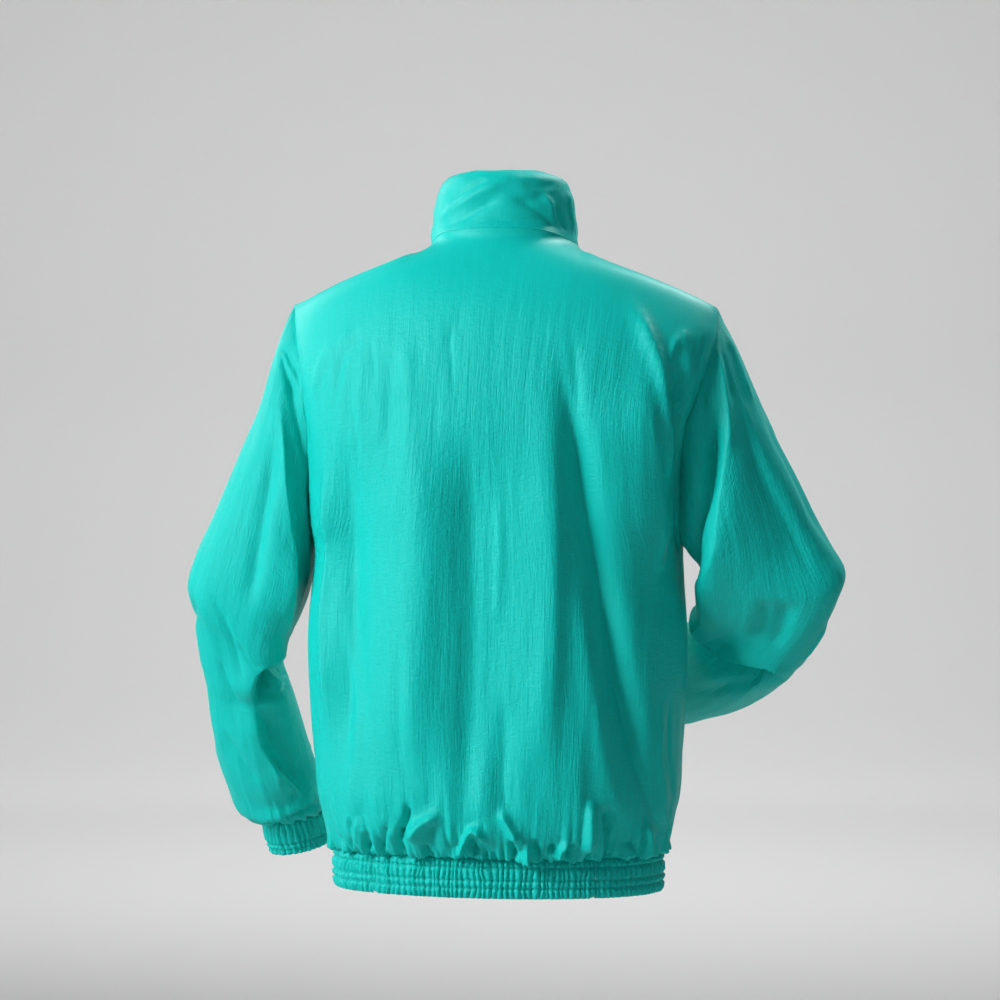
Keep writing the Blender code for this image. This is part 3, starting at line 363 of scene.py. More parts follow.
def relief(points, normals, creases):
    """How far the creases lift these points along their normals."""
    lift = np.zeros(points.shape[:-1])
    cloth = points.reshape(-1, 3)
    for crease in creases:
        # The path is laid on the cloth where it comes nearest.
        corners = np.array(crease.path, float) / 1000
        corners = cloth[[((cloth - corner)**2).sum(axis=1).argmin() for corner in corners]]
        right, left, height, drop = (value / 1000 for value in crease[1:5])
        if len(corners) > 2:
            along = travelled(corners)
            corners = spline(along, corners, np.linspace(0, along[-1], CREASE_STEPS * len(corners)))
        reach = 3 * max(right, left)
        close = (points > corners.min(axis=0) - reach) & (points < corners.max(axis=0) + reach)
        close = close.all(axis=-1)
        here, facing = points[close], normals[close]
        best = np.full(len(here), np.inf)
        on_right = np.zeros(len(here), bool)
        share = np.zeros(len(here))
        for k, (start, end) in enumerate(zip(corners[:-1], corners[1:])):
            run = end - start
            part = np.clip((here - start) @ run / (run @ run), 0, 1)
            off = here - (start + part[:, None] * run)
            away = np.linalg.norm(off, axis=1)
            closer = away < best
            best = np.where(closer, away, best)
            on_right = np.where(closer, (np.cross(run, off) * facing).sum(axis=1) < 0, on_right)
            share = np.where(closer, (k + part) / (len(corners) - 1), share)
        taper = smooth(np.minimum(share, 1 - share) / CREASE_TAPER)
        right_hand = height * fade(best, right, crease.power)
        left_hand = height * fade(best, left, crease.power)
        if drop:
            lip = (height + drop) * fade(best, TUCK_LIP, 2)
            left_hand = lip - drop * fade(np.maximum(best - TUCK_START, 0), left, 2)
        lift[close] += taper * np.where(on_right, right_hand, left_hand)
    return lift


def new_material(name):
    """A material made of nodes, and its shader."""
    material = bpy.data.materials.new(name)
    material.use_nodes = True
    return material, material.node_tree.nodes["Principled BSDF"]


def wire(material, node, sockets):
    """Set a node's sockets to these values, or link them to these outputs of other nodes."""
    for name, value in sockets.items():
        if isinstance(value, bpy.types.NodeSocket):
            material.node_tree.links.new(value, node.inputs[name])
        else:
            node.inputs[name].default_value = value


def add_node(material, kind, sockets):
    """A new node of a material, with its sockets set."""
    node = material.node_tree.nodes.new("ShaderNode" + kind)
    wire(material, node, sockets)
    return node


def tint(material, shader, pattern, dark, light):
    """Let the colour wander between a dark and a light tone with a pattern."""
    tone = add_node(material, "Mix", {})
    tone.data_type = "RGBA"
    wire(material, tone, {"Factor": pattern, "A": (*dark, 1), "B": (*light, 1)})
    wire(material, shader, {"Base Color": tone.outputs["Result"]})


def gloss(material, shader, pattern, low, high):
    """Let the roughness wander between these two values with a pattern."""
    between = add_node(material, "MapRange", {"Value": pattern, "To Min": low, "To Max": high})
    wire(material, shader, {"Roughness": between.outputs["Result"]})


def nylon_material():
    """Thin plain-woven nylon, crinkled along its length, with a soft sheen."""
    material, shader = new_material("crinkled_nylon")
    wire(material, shader, {
        "IOR": 1.48, "Specular IOR Level": 0.32, "Specular Tint": (0.60, 1.0, 0.98, 1.0),
        "Sheen Weight": 0.03, "Sheen Roughness": 0.40, "Sheen Tint": (0.60, 1.0, 0.96, 1.0)})
    place = add_node(material, "TexCoord", {})

    def lumps(width, length):
        """Noise on the cloth's own map, in lumps of this size."""
        turned = add_node(material, "Mapping", {"Vector": place.outputs["UV"],
                                                "Scale": (1 / width, 1 / length, 1)})
        texture = add_node(material, "TexNoise", {"Vector": turned.outputs["Vector"], "Scale": 1.0,
                                                  "Detail": 3.0, "Distortion": 0.6})
        return texture.outputs["Fac"]

    streaks = lumps(0.0021, 0.0300)
    grain = lumps(0.0016, 0.0018)
    crumple = lumps(0.0080, 0.0034)
    red, green, blue = TURQUOISE
    tint(material, shader, streaks, (red, green * 0.93, blue * 0.93), (red * 1.5, green * 1.06, blue * 1.06))
    gloss(material, shader, crumple, 0.40, 0.56)
    # The yoke of the back and the tops of the fronts lie smoother than the rest.
    worn = add_node(material, "Attribute", {})
    worn.attribute_name = "crinkle"
    normal = None
    for height, strength, distance in ((streaks, 1.0, 0.0008), (crumple, 0.7, 0.0010), (grain, 0.8, 0.0005)):
        rough = add_node(material, "Math", {0: worn.outputs["Fac"], 1: strength})
        rough.operation = "MULTIPLY"
        bump = add_node(material, "Bump", {"Height": height, "Strength": rough.outputs["Value"],
                                           "Distance": distance})
        if normal:
            wire(material, bump, {"Normal": normal})
        normal = bump.outputs["Normal"]
    wire(material, shader, {"Normal": normal})
    return material


nylon = nylon_material()


def put_in_scene(name, mesh, material):
    """A new piece with this mesh and material."""
    mesh.shade_smooth()
    mesh.materials.append(material)
    piece = bpy.data.objects.new(name, mesh)
    bpy.context.scene.collection.objects.link(piece)
    return piece


def select_only(piece):
    """Select this piece and no other, and make it the active one."""
    bpy.ops.object.select_all(action="DESELECT")
    piece.select_set(True)
    bpy.context.view_layer.objects.active = piece


def cloth_piece(name, grid, u, v, closed=False, thickness=NYLON, calm=None, outward=None, material=nylon):
    """A sheet through a grid of points, with the cloth's map as its UVs, then given its thickness.
    'calm' is the share of the fine crinkle at each point, and 'outward' a way that its face looks."""
    rows, columns = grid.shape[:2]
    number = np.arange(rows * columns).reshape(rows, columns)
    across = np.arange(columns if closed else columns - 1)
    after = (across + 1) % columns
    corners = [number[:-1][:, across], number[:-1][:, after], number[1:][:, after], number[1:][:, across]]
    step = u[0, 1] - u[0, 0]
    u_after = u[:, across] + (step if closed else np.diff(u, axis=1))
    corner_u = [u[:-1][:, across], u_after[:-1], u_after[1:], u[1:][:, across]]
    corner_v = [v[:-1][:, across], v[:-1][:, after], v[1:][:, after], v[1:][:, across]]
    first = [grid.reshape(-1, 3)[corner[rows // 2 - 1, 0]] for corner in corners]
    facing = np.cross(first[1] - first[0], first[3] - first[0])
    wanted = grid_normals(grid, closed)[rows // 2 - 1, 0] if outward is None else np.array(outward)
    order = [0, 1, 2, 3] if facing @ wanted > 0 else [3, 2, 1, 0]
    faces = np.stack([corners[k] for k in order], axis=-1).reshape(-1, 4)
    mesh = bpy.data.meshes.new(name)
    mesh.from_pydata(grid.reshape(-1, 3).tolist(), [], faces.tolist())
    layer = mesh.uv_layers.new(name="UVMap")
    uv = np.stack([np.stack([corner_u[k] for k in order], axis=-1),
                   np.stack([corner_v[k] for k in order], axis=-1)], axis=-1)
    layer.data.foreach_set("uv", uv.astype(np.float32).ravel())
    worn = mesh.attributes.new("crinkle", "FLOAT", "POINT")
    shares = np.ones(grid.shape[:2]) if calm is None else calm
    worn.data.foreach_set("value", shares.astype(np.float32).ravel())
    piece = put_in_scene(name, mesh, material)
    shell = piece.modifiers.new("thickness", "SOLIDIFY")
    shell.thickness = thickness
    shell.offset = -1
    select_only(piece)
    bpy.ops.object.modifier_apply(modifier=shell.name)
    # The cloth is smooth, and its cut edges are sharp.
    bpy.ops.object.shade_smooth_by_angle(angle=np.radians(75))
    piece.select_set(False)
    return piece


ROWS_BELOW = np.concatenate([np.linspace(0, 0.16, 31), np.linspace(0.16, 1, 49)[1:]])
ROWS_ABOVE = np.concatenate([np.linspace(0, 0.88, 36), np.linspace(0.88, 1, 11)[1:]])
FRONT_CREASES = [
    Crease(((60, -107, -140), (66, -117, -240), (74, -112, -340)), 14, 14, 8.4),
    Crease(((96, -102, -150), (104, -107, -250), (100, -102, -350)), 9, 12, -10.5, 0, 1.4),
    Crease(((134, -87, -340), (128, -93, -460), (118, -95, -600)), 14, 16, 10.5),
    Crease(((82, -104, -400), (78, -100, -520), (72, -97, -640)), 10, 16, -12.6, 0, 1.5),
    Crease(((44, -110, -430), (40, -109, -540), (38, -107, -640)), 12, 12, 7.4),
    Crease(((160, -68, -380), (156, -72, -500), (150, -70, -620)), 10, 12, -8.4),
    Crease(((30, -116, -200), (34, -117, -300), (30, -114, -380)), 8, 8, -5.2),
    Crease(((188, -69, -190), (165, -88, -215), (140, -95, -250)), 6, 8, -7.4, 0, 1.5),
    Crease(((184, -70, -240), (165, -83, -262), (150, -86, -290)), 5, 6, -6.3),
    Crease(((24, -118, -300), (40, -117, -292), (58, -117, -296)), 4, 5, -3.4),
    Crease(((22, -111, -480), (36, -110, -470), (52, -107, -476)), 4, 5, -3.4),
    Crease(((-30, -111, -405), (-75, -104, -378), (-110, -95, -350)), 14, 12, -8.4),
    Crease(((-64, -103, -130), (-72, -117, -220), (-80, -109, -330)), 14, 14, 8.4),
    Crease(((-100, -105, -160), (-112, -104, -260), (-116, -95, -340)), 10, 12, -10.5, 0, 1.4),
    Crease(((-84, -103, -440), (-80, -103, -540), (-76, -97, -650)), 14, 10, -10.5, 0, 1.5),
    Crease(((-52, -108, -520), (-56, -111, -590), (-60, -93, -660)), 14, 14, 9.5),
    Crease(((-120, -89, -540), (-124, -89, -600), (-120, -71, -660)), 12, 14, 9.5),
    Crease(((-152, -72, -420), (-150, -71, -540), (-148, -64, -640)), 12, 10, -8.4),
    Crease(((-186, -76, -200), (-160, -88, -225), (-138, -94, -262)), 8, 6, -7.4, 0, 1.5),
    Crease(((-30, -111, -460), (-28, -111, -560), (-26, -106, -640)), 7, 8, -5.2),
    Crease(((-22, -118, -250), (-38, -117, -242), (-56, -117, -247)), 5, 4, -3.4),
]
Panel = namedtuple("Panel", "seed flat area creases")
PANELS = {
    "back": Panel(10, (0.56, 0.70), 0.340, BACK_CREASES),
    "front_left": Panel(30, (0.28, 0.64), 0.165, FRONT_CREASES),
    "front_right": Panel(50, (0.28, 0.64), 0.165, FRONT_CREASES),
}

# Puffs of cloth that the hem band's elastic bunches up, and how far up each kind reaches.
Gather = namedtuple("Gather", "height reach width length")
HEM_GATHERS = [Gather(0.0036, 0.012, 0.0044, 0.030), Gather(0.0088, 0.025, 0.0105, 0.032)]
HEM_WAVE = Gather(0.0065, 0.080, 0.0190, 0.090)      # wide waves higher up
HEM_RUFFLE = Gather(0.0016, 0.014, 0.0028, 0.050)    # narrow ruffles beside the band
HEM_SWELL = 0.0060        # how far the body blouses over the band
HEM_SWELL_START = 0.008   # above the band
HEM_SWELL_REACH = 0.050
HEM_TURN = 0.0045         # over which the lower edge turns in to the band
SEAM_EASE = 0.014         # the creases die out this far from a seam
SEAM_RISE = 0.003         # over which the cloth comes up out of a seam
CALM_RISE = 0.020         # and where it lies calm
TOP_RISE = 0.015          # and from the seams of the shoulders and neck
PUCKER = 0.0022           # where the armhole is eased into the sleeve
PUCKER_REACH = 0.011
PUCKER_SIZE = 0.0045
ARMHOLE_START = 0.345     # how far up the cloth the armhole starts
SHOULDERS_Z = -0.150      # above this are the shoulders
YOKE_CRINKLE = 0.10       # share of the crinkle that is left along the shoulders
YOKE_DEPTH = 0.03         # how far down it stays at that, and then over how much it grows
YOKE_GROWTH = 0.17
NECK_FILL = 0.0070        # how far the cloth bridges the corner under the collar
NECK_FILL_REACH = 0.012


def seam_puff(away, calm):
    """How far the cloth stands out this far from a seam, and less where it lies calm."""
    groove = 1 - fade(away, SEAM_RISE)
    flat = (1 - fade(away, CALM_RISE)) * groove
    return PUFF * (groove + (flat - groove) * calm)


def shoulder_top(grid):
    """1 on the shoulders, and 0 below them."""
    return smooth((grid[..., 2] - SHOULDERS_Z) / 0.030)


def bunched(gathers, away, u, v, seed, around=0.0):
    """How far the gathers lift the cloth this far away from the elastic."""
    return sum(gather.height * fade(away, gather.reach)
               * billow(u, v, gather.width, gather.length, seed + number, around)
               for number, gather in enumerate(gathers, start=7))


def neck_fill(seam, away):
    """The cloth bridges the corner between the back and the collar: how far it stands off a seam
    point's column this far away from the neck seam."""
    out = unit(np.stack([seam[:, 0] / NECK_SIDE[0]**2, seam[:, 1] / NAPE[1]**2, 0 * seam[:, 0]], axis=1))
    out = unit(out + (0, 0, 0.7))
    on_neck = smooth((NECK_SIDE[0] - np.abs(seam[:, 0])) / 0.030) * smooth(seam[:, 1] / 0.012)
    return (out * on_neck[:, None])[None] * (NECK_FILL * fade(away, NECK_FILL_REACH))[..., None]


def body_panel(name, grid):
    """The panel's base grid with its seams, creases, crinkle and gathers."""
    normal = grid_normals(grid)
    u, v = cloth_map(grid)
    seed = PANELS[name].seed
    top = v.max() - v
    if name == "back":
        edge = np.minimum(u, u.max() - u)
        border = edge
        off_zip, beside_zip = 1.0, 1.0
    else:
        edge = u.max() - u
        border = np.minimum(edge, u)
        off_zip, beside_zip = smooth((u - 0.008) / 0.016), smooth(u / 0.012)
    free = smooth(np.minimum(edge, top) / SEAM_EASE) * off_zip
    # The cloth stands out a little beside its seams, but for the left shoulder, which is smooth.
    left_top = shoulder_top(grid) * smooth(grid[..., 0] / 0.05)
    lift = seam_puff(border, left_top) * (1 - fade(top, TOP_RISE))
    calm = YOKE_CRINKLE + (1 - YOKE_CRINKLE) * smooth((top - YOKE_DEPTH) / YOKE_GROWTH)
    lift = lift + free * calm * crinkle(u, v, seed)
    lift = lift + free * relief(grid, normal, PANELS[name].creases)
    # Puckers where the armhole is eased into the sleeve.
    beside = (fade(edge, PUCKER_REACH) * (1 - fade(edge, SEAM_RISE))
              * smooth((v - ARMHOLE_START) / 0.02) * (1 - left_top))
    lift = lift + beside * PUCKER * noise(v, v, PUCKER_SIZE, PUCKER_SIZE, seed + 6)
    # The cloth swells out above the hem band, and its gathers run together higher up.
    swell = HEM_SWELL * (1 - fade(v, HEM_SWELL_START)) * fade(v, HEM_SWELL_REACH)
    swell = swell * (1 - 0.75 * fade(edge, 0.045, 2))
    wave = HEM_WAVE.height * fade(v, HEM_WAVE.reach) * noise(u, v, HEM_WAVE.width, HEM_WAVE.length, seed + 9)
    ruffle = (HEM_RUFFLE.height * fade(v, HEM_RUFFLE.reach)
              * billow(u, v, HEM_RUFFLE.width, HEM_RUFFLE.length, seed + 5))
    gather = smooth(v / 0.005) * (bunched(HEM_GATHERS, v, u, v, seed) + wave) + ruffle
    lift = lift + (swell + gather) * beside_zip * smooth(edge / 0.006)
    lift = lift - BAND_INSET * fade(v, HEM_TURN, 1.3)
    filled = neck_fill(grid[-1], top) if name == "back" else 0
    return grid + normal * lift[..., None] + filled, u, v, calm


halves = {side: body_half(side, ROWS_BELOW, ROWS_ABOVE) for side in SIDES}
mirror = {side: np.array((sign, 1, 1)) for side, sign in SIDES.items()}
body_grids = {"back": np.hstack([(halves["right"][0] * mirror["right"])[:, :0:-1], halves["left"][0]])}
for side in SIDES:
    body_grids["front_" + side] = halves[side][1] * mirror[side]
body_points = {}
for name, grid in body_grids.items():
    points, u, v, calm = body_panel(name, grid)
    body_points[name] = points
    panel = cloth_piece(name + "_cloth", points, u, v, calm=calm)
    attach(panel, "jacket")
    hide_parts(name)


# ---------------------------------------------------------------- sleeves
# Each sleeve is one panel, set into the armhole and closed by a seam under the arm.  The left arm
# hangs a little bent, and the right one is bent forwards, so its cloth tucks under at the elbow.

Ring = namedtuple("Ring", "out_x out_y out_z in_x in_y in_z back front power")
SLEEVE = {
    "left": [
        Ring(0.252, 0.020, -0.129, 0.212, 0.030, -0.352, 0.056, 0.060, 2.3),
        Ring(0.266, 0.022, -0.179, 0.214, 0.028, -0.362, 0.060, 0.066, 2.3),
        Ring(0.287, 0.025, -0.223, 0.216, 0.026, -0.374, 0.062, 0.066, 2.3),
        Ring(0.307, 0.028, -0.268, 0.219, 0.022, -0.388, 0.062, 0.064, 2.3),
        Ring(0.326, 0.031, -0.312, 0.226, 0.016, -0.408, 0.062, 0.062, 2.3),
        Ring(0.344, 0.032, -0.352, 0.239, 0.006, -0.432, 0.060, 0.060, 2.2),
        Ring(0.353, 0.030, -0.381, 0.254, -0.006, -0.450, 0.058, 0.058, 2.2),
        Ring(0.350, 0.024, -0.413, 0.259, -0.018, -0.468, 0.056, 0.056, 2.2),
        Ring(0.346, 0.016, -0.452, 0.257, -0.028, -0.487, 0.054, 0.054, 2.2),
        Ring(0.343, 0.002, -0.494, 0.252, -0.040, -0.513, 0.052, 0.052, 2.2),
        Ring(0.342, -0.016, -0.540, 0.246, -0.056, -0.547, 0.050, 0.052, 2.2),
        Ring(0.338, -0.034, -0.581, 0.238, -0.072, -0.583, 0.050, 0.052, 2.2),
        Ring(0.330, -0.050, -0.618, 0.232, -0.088, -0.612, 0.048, 0.050, 2.2),
        Ring(0.321, -0.061, -0.644, 0.231, -0.096, -0.630, 0.044, 0.046, 2.1),
        Ring(0.296, -0.074, -0.655, 0.232, -0.101, -0.638, 0.030, 0.032, 2.0),
    ],
    "right": [
        Ring(0.263, 0.020, -0.137, 0.213, 0.030, -0.351, 0.056, 0.060, 2.3),
        Ring(0.283, 0.022, -0.183, 0.220, 0.028, -0.359, 0.060, 0.066, 2.3),
        Ring(0.303, 0.025, -0.226, 0.224, 0.024, -0.367, 0.062, 0.066, 2.3),
        Ring(0.325, 0.028, -0.269, 0.225, 0.018, -0.375, 0.060, 0.064, 2.3),
        Ring(0.344, 0.031, -0.311, 0.225, 0.008, -0.383, 0.058, 0.062, 2.3),
        Ring(0.361, 0.034, -0.346, 0.224, -0.006, -0.391, 0.056, 0.058, 2.2),
        Ring(0.374, 0.036, -0.373, 0.222, -0.022, -0.400, 0.054, 0.054, 2.1),
        Ring(0.364, 0.032, -0.402, 0.219, -0.045, -0.409, 0.052, 0.052, 2.1),
        Ring(0.345, 0.018, -0.436, 0.213, -0.074, -0.416, 0.050, 0.052, 2.2),
        Ring(0.314, -0.008, -0.476, 0.203, -0.100, -0.423, 0.046, 0.052, 2.2),
        Ring(0.281, -0.048, -0.503, 0.184, -0.128, -0.429, 0.042, 0.052, 2.2),
        Ring(0.247, -0.092, -0.523, 0.157, -0.156, -0.442, 0.040, 0.052, 2.2),
        Ring(0.209, -0.132, -0.535, 0.128, -0.184, -0.455, 0.040, 0.050, 2.2),
        Ring(0.182, -0.158, -0.540, 0.111, -0.202, -0.468, 0.038, 0.046, 2.1),
        Ring(0.164, -0.168, -0.534, 0.117, -0.200, -0.486, 0.028, 0.032, 2.0),
    ],
}
CUFF_WAY = {"left": (-0.38, -0.35, -0.86), "right": (-0.64, -0.42, -0.64)}
SLEEVE_COLUMNS = 200
SLEEVE_ROWS = 195
SLEEVE_ROUND = 0.42       # the sleeve's girth, on which its noise meets
# The cloth at the back of each ring hangs over towards the body, by this share of the half width.
SLEEVE_HANG = {
    "left": (0.05, 0.14, 0.22, 0.28, 0.32, 0.34, 0.34, 0.32, 0.28, 0.24, 0.20, 0.14, 0.08, 0.03, 0),
    "right": (0.06, 0.16, 0.26, 0.32, 0.36, 0.38, 0.38, 0.34, 0.26, 0.18, 0.10, 0.05, 0, 0, 0),
}
CUFF_STEP_IN = 0.0024     # from the sleeve's last ring to the cuff
SLEEVE_PUCKER = 0.0016
SLEEVE_PUCKER_REACH = 0.010
SLEEVE_TURN = 0.004       # over which the sleeve's end turns in to the cuff
FOREARM_CRINKLE = 0.6     # more of it there than on the upper arm, as a share
FOREARM_START = 0.28      # how far down the sleeve the forearm starts
CUFF_GATHERS = [Gather(0.0030, 0.009, 0.0048, 0.020), Gather(0.0048, 0.022, 0.0110, 0.030)]

# Creases of each sleeve: on its back, its front and its outer side.
SLEEVE_CREASES = {
    "left": [
        Crease(((240, 82, -214), (244, 90, -268), (254, 88, -323), (265, 80, -388), (273, 72, -421)),
               12, 8, -6.1, 0, 1.6),
        Crease(((236, 68, -159), (228, 79, -225), (225, 83, -290), (228, 73, -356), (234, 59, -405),
                (247, 33, -436)), 11, 5, 10.8, 0, 1.3),
        Crease(((261, 80, -235), (270, 87, -312), (283, 83, -377), (299, 59, -444), (305, 31, -512),
                (299, 13, -569)), 22, 22, -3.4),
        Crease(((234, 61, -139), (221, 74, -181), (211, 74, -225), (208, 67, -257)), 4, 5, -5.4, 0, 1.5),
        Crease(((214, 74, -257), (214, 57, -323), (223, 21, -401)), 6, 5, 4.1),
        Crease(((245, 29, -436), (258, 31, -452), (269, 34, -472), (277, 33, -498), (279, 26, -519)),
               28, 20, 12.2, 23, 1.5),
        Crease(((258, -13, -465), (258, 15, -504), (270, 26, -510), (280, 28, -514)), 3, 4, -4.1, 0, 1.3),
        Crease(((280, 28, -514), (277, 16, -541), (273, 0, -567), (265, -12, -587), (254, -25, -607),
                (242, -42, -629)), 26, 24, 9.5, 10.8, 1.4),
        Crease(((257, -18, -591), (256, -24, -610), (247, -37, -627)), 5, 4, -4.1),
        Crease(((229, -65, -627), (245, -41, -636), (264, -35, -645), (288, -36, -650), (304, -41, -650)),
               10, 10, 5.4, 9.5),
        Crease(((321, 74, -391), (302, 70, -424), (289, 45, -467), (283, 33, -501)), 6, 4, -4.1, 0, 1.3),
        Crease(((318, 50, -461), (304, 36, -501), (289, 25, -530)), 6, 4, -3.5, 0, 1.3),
        Crease(((320, 13, -547), (301, 8, -581), (280, -9, -610)), 7, 5, -3.5, 0, 1.4),
        Crease(((286, 56, -444), (277, 41, -461), (268, 33, -467)), 4, 4, -3.2, 0, 1.3),
        Crease(((249, 45, -135), (236, 54, -126), (226, 62, -139), (215, 69, -157), (207, 71, -175)),
               3, 5, -4.1, 0, 1.2),
        Crease(((241, 51, -125), (234, 62, -143), (225, 69, -164), (217, 74, -183)), 3, 4, -3.4, 0, 1.4),
        Crease(((256, 1, -462), (256, -9, -455)), 2, 2, 2.7),
        Crease(((256, 8, -480), (254, -18, -493)), 2, 2, -2.2),
        Crease(((262, -25, -462), (300, -65, -478)), 9, 6, -9.5, 0, 1.4),
        Crease(((262, -30, -440), (300, -57, -452)), 10, 10, 7.6),
        Crease(((262, -50, -500), (296, -75, -508)), 9, 6, -7.6, 0, 1.4),
        Crease(((286, -10, -240), (300, -32, -340)), 16, 16, 7.6),
        Crease(((240, -28, -170), (252, -40, -260), (262, -39, -340)), 10, 12, -8.5),
        Crease(((250, -79, -560), (258, -114, -600), (262, -121, -630)), 8, 8, 5.7),
        Crease(((280, -89, -540), (290, -113, -590), (292, -119, -625)), 8, 8, -5.7),
        Crease(((255, -20, -180), (292, -24, -280), (330, -20, -360)), 14, 14, 6.4),
        Crease(((260, 24, -160), (303, 28, -260), (339, 26, -340)), 12, 12, -5.6),
        Crease(((340, 60, -396), (347, 30, -420), (351, -10, -425)), 8, 6, -4.8, 0, 1.4),
        Crease(((341, 20, -470), (343, -10, -520), (337, -30, -580)), 9, 9, -4.8),
    ],
    "right": [
        Crease(((-240, 54, -119), (-244, 58, -136), (-250, 65, -157), (-256, 72, -184), (-260, 81, -216),
                (-259, 87, -248)), 4, 5, 4.9, 0, 1.4),
        Crease(((-245, 32, -103), (-258, 38, -132), (-272, 44, -164), (-285, 47, -194)), 5, 5, 3.4),
        Crease(((-247, 52, -130), (-256, 62, -159), (-264, 70, -189)), 4, 4, -2),
        Crease(((-253, 70, -175), (-256, 84, -227), (-252, 89, -290), (-244, 77, -343), (-233, 43, -389),
                (-223, -4, -412)), 6, 30, 6.8, 0, 1.5),
        Crease(((-244, 74, -184), (-242, 79, -226), (-237, 79, -279), (-226, 64, -333), (-225, 35, -382)),
               13, 6, -18.9, 0, 1.6),
        Crease(((-311, -34, -483), (-304, 3, -476), (-294, 12, -470), (-278, 11, -466), (-255, 1, -462),
                (-237, -10, -455), (-230, -11, -446), (-224, -13, -434), (-218, -21, -414),
                (-227, 25, -393)), 14, 30, 9.5, 25.7, 1.5),
        Crease(((-355, 15, -421), (-339, 5, -446), (-325, -2, -464)), 3, 5, 2.7),
        Crease(((-299, 64, -394), (-291, 49, -418), (-276, 23, -446)), 8, 8, -4.1),
        Crease(((-267, 65, -184), (-283, 71, -221), (-299, 76, -258), (-314, 74, -290), (-328, 70, -322),
                (-341, 66, -353), (-345, 61, -385)), 34, 9, -6.1, 0, 1.6),
        Crease(((-322, 63, -396), (-309, 45, -428), (-294, 25, -453)), 16, 10, -6.8, 0, 1.6),
        Crease(((-229, -6, -436), (-212, -34, -441), (-197, -59, -448)), 3, 3, -2),
        Crease(((-286, -15, -490), (-245, -35, -496), (-196, -84, -506)), 7, 7, -2.7),
        Crease(((-255, -57, -388), (-300, -60, -400)), 12, 14, -11.4, 0, 1.4),
        Crease(((-222, -1, -355), (-262, -45, -370), (-310, -50, -385)), 10, 10, 7.6),
        Crease(((-250, -110, -420), (-290, -91, -430)), 8, 10, -7.6, 0, 1.4),
        Crease(((-262, -7, -150), (-284, -30, -240), (-296, -41, -340)), 16, 16, 7.6),
        Crease(((-236, -30, -170), (-248, -40, -260), (-256, -39, -340)), 12, 10, -8.5),
        Crease(((-240, -161, -470), (-205, -197, -488), (-165, -217, -500)), 10, 10, 6.6),
        Crease(((-170, -211, -470), (-210, -181, -462), (-245, -146, -452)), 8, 8, -5.7),
        Crease(((-267, -20, -180), (-309, -24, -280), (-343, -20, -350)), 14, 14, 6.4),
        Crease(((-282, 24, -180), (-325, 28, -270), (-365, 26, -350)), 12, 12, -5.6),
        Crease(((-341, -30, -390), (-358, 0, -410), (-355, 20, -420)), 8, 6, -4.8, 0, 1.4),
        Crease(((-304, -80, -440), (-322, -40, -470), (-307, -10, -480)), 9, 9, -4.8),
    ],
}


def sleeve_tube(side):
    """The sleeve's grid: rows from the armhole to the cuff, columns from the shoulder round the back."""
    half = SLEEVE_COLUMNS // 2
    back, front = body_half(side, np.array((0.0, 1.0)), np.linspace(0, 1, half + 1))
    armhole = np.vstack([back[2:, -1][::-1], front[1:-1, -1]])
    turn = np.linspace(0, 2 * np.pi, SLEEVE_COLUMNS, endpoint=False)
    outwards, backwards = np.cos(turn), np.sin(turn)
    table = SLEEVE[side]
    out_points = np.array([ring[0:3] for ring in table])
    in_points = np.array([ring[3:6] for ring in table])
    middles = (out_points + in_points) / 2
    along = unit(np.gradient(np.vstack([armhole.mean(axis=0), middles]), axis=0))[1:]
    along[-1] = CUFF_WAY[side]
    rings = [armhole]
    for ring, out_point, middle, way, hang in zip(table, out_points, middles, along, SLEEVE_HANG[side]):
        across = out_point - middle
        to_back = unit(np.cross(across, way))
        square = 2 / ring.power
        wide = np.sign(outwards) * np.abs(outwards)**square - hang * np.maximum(backwards, 0)**1.4
        deep = np.sign(backwards) * np.abs(backwards)**square * np.where(backwards > 0, ring.back, ring.front)
        rings.append(middle + np.outer(wide, across) + np.outer(deep, to_back))
    rings = np.array(rings)
    knots = travelled(rings)
    return spline(knots, rings, np.linspace(0, knots[-1], SLEEVE_ROWS))


for seed, side in ((70, "left"), (90, "right")):
    grid = sleeve_tube(side) * mirror[side]
    normal = grid_normals(grid, closed=True)
    u, v = cloth_map(grid)
    u = u / u.max() * SLEEVE_ROUND * (1 - 1 / SLEEVE_COLUMNS)
    end = v.max() - v
    free = smooth(v / SEAM_EASE) * smooth(end / SLEEVE_TURN)
    left_top = shoulder_top(grid) * (side == "left")
    lift = seam_puff(v, left_top)
    more = 1.0 + FOREARM_CRINKLE * smooth((v - FOREARM_START) / 0.10)
    lift = lift + free * more * crinkle(u, v, seed, SLEEVE_ROUND)
    lift = lift + free * relief(grid, normal, SLEEVE_CREASES[side])
    lift = lift + smooth(end / 0.006) * bunched(CUFF_GATHERS, end, u, v, seed, SLEEVE_ROUND)
    beside = SLEEVE_PUCKER * fade(v, SLEEVE_PUCKER_REACH) * (1 - fade(v, SEAM_RISE)) * (1 - left_top)
    lift = lift + beside * noise(u, v, 0.0050, 0.02, seed + 9, SLEEVE_ROUND)
    lift = lift - CUFF_STEP_IN * fade(end, SLEEVE_TURN, 1.3)
    sleeve = cloth_piece("sleeve_cloth_" + side, grid + normal * lift[..., None], u, v, closed=True)
    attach(sleeve, "jacket")
    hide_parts("sleeve_" + side)


# ---------------------------------------------------------------- collar
# The stand collar is one strip of the nylon, folded over at its top edge, sewn to the neck and
# closed by the zip.  It leans in a little and is crumpled where it bends round the neck.

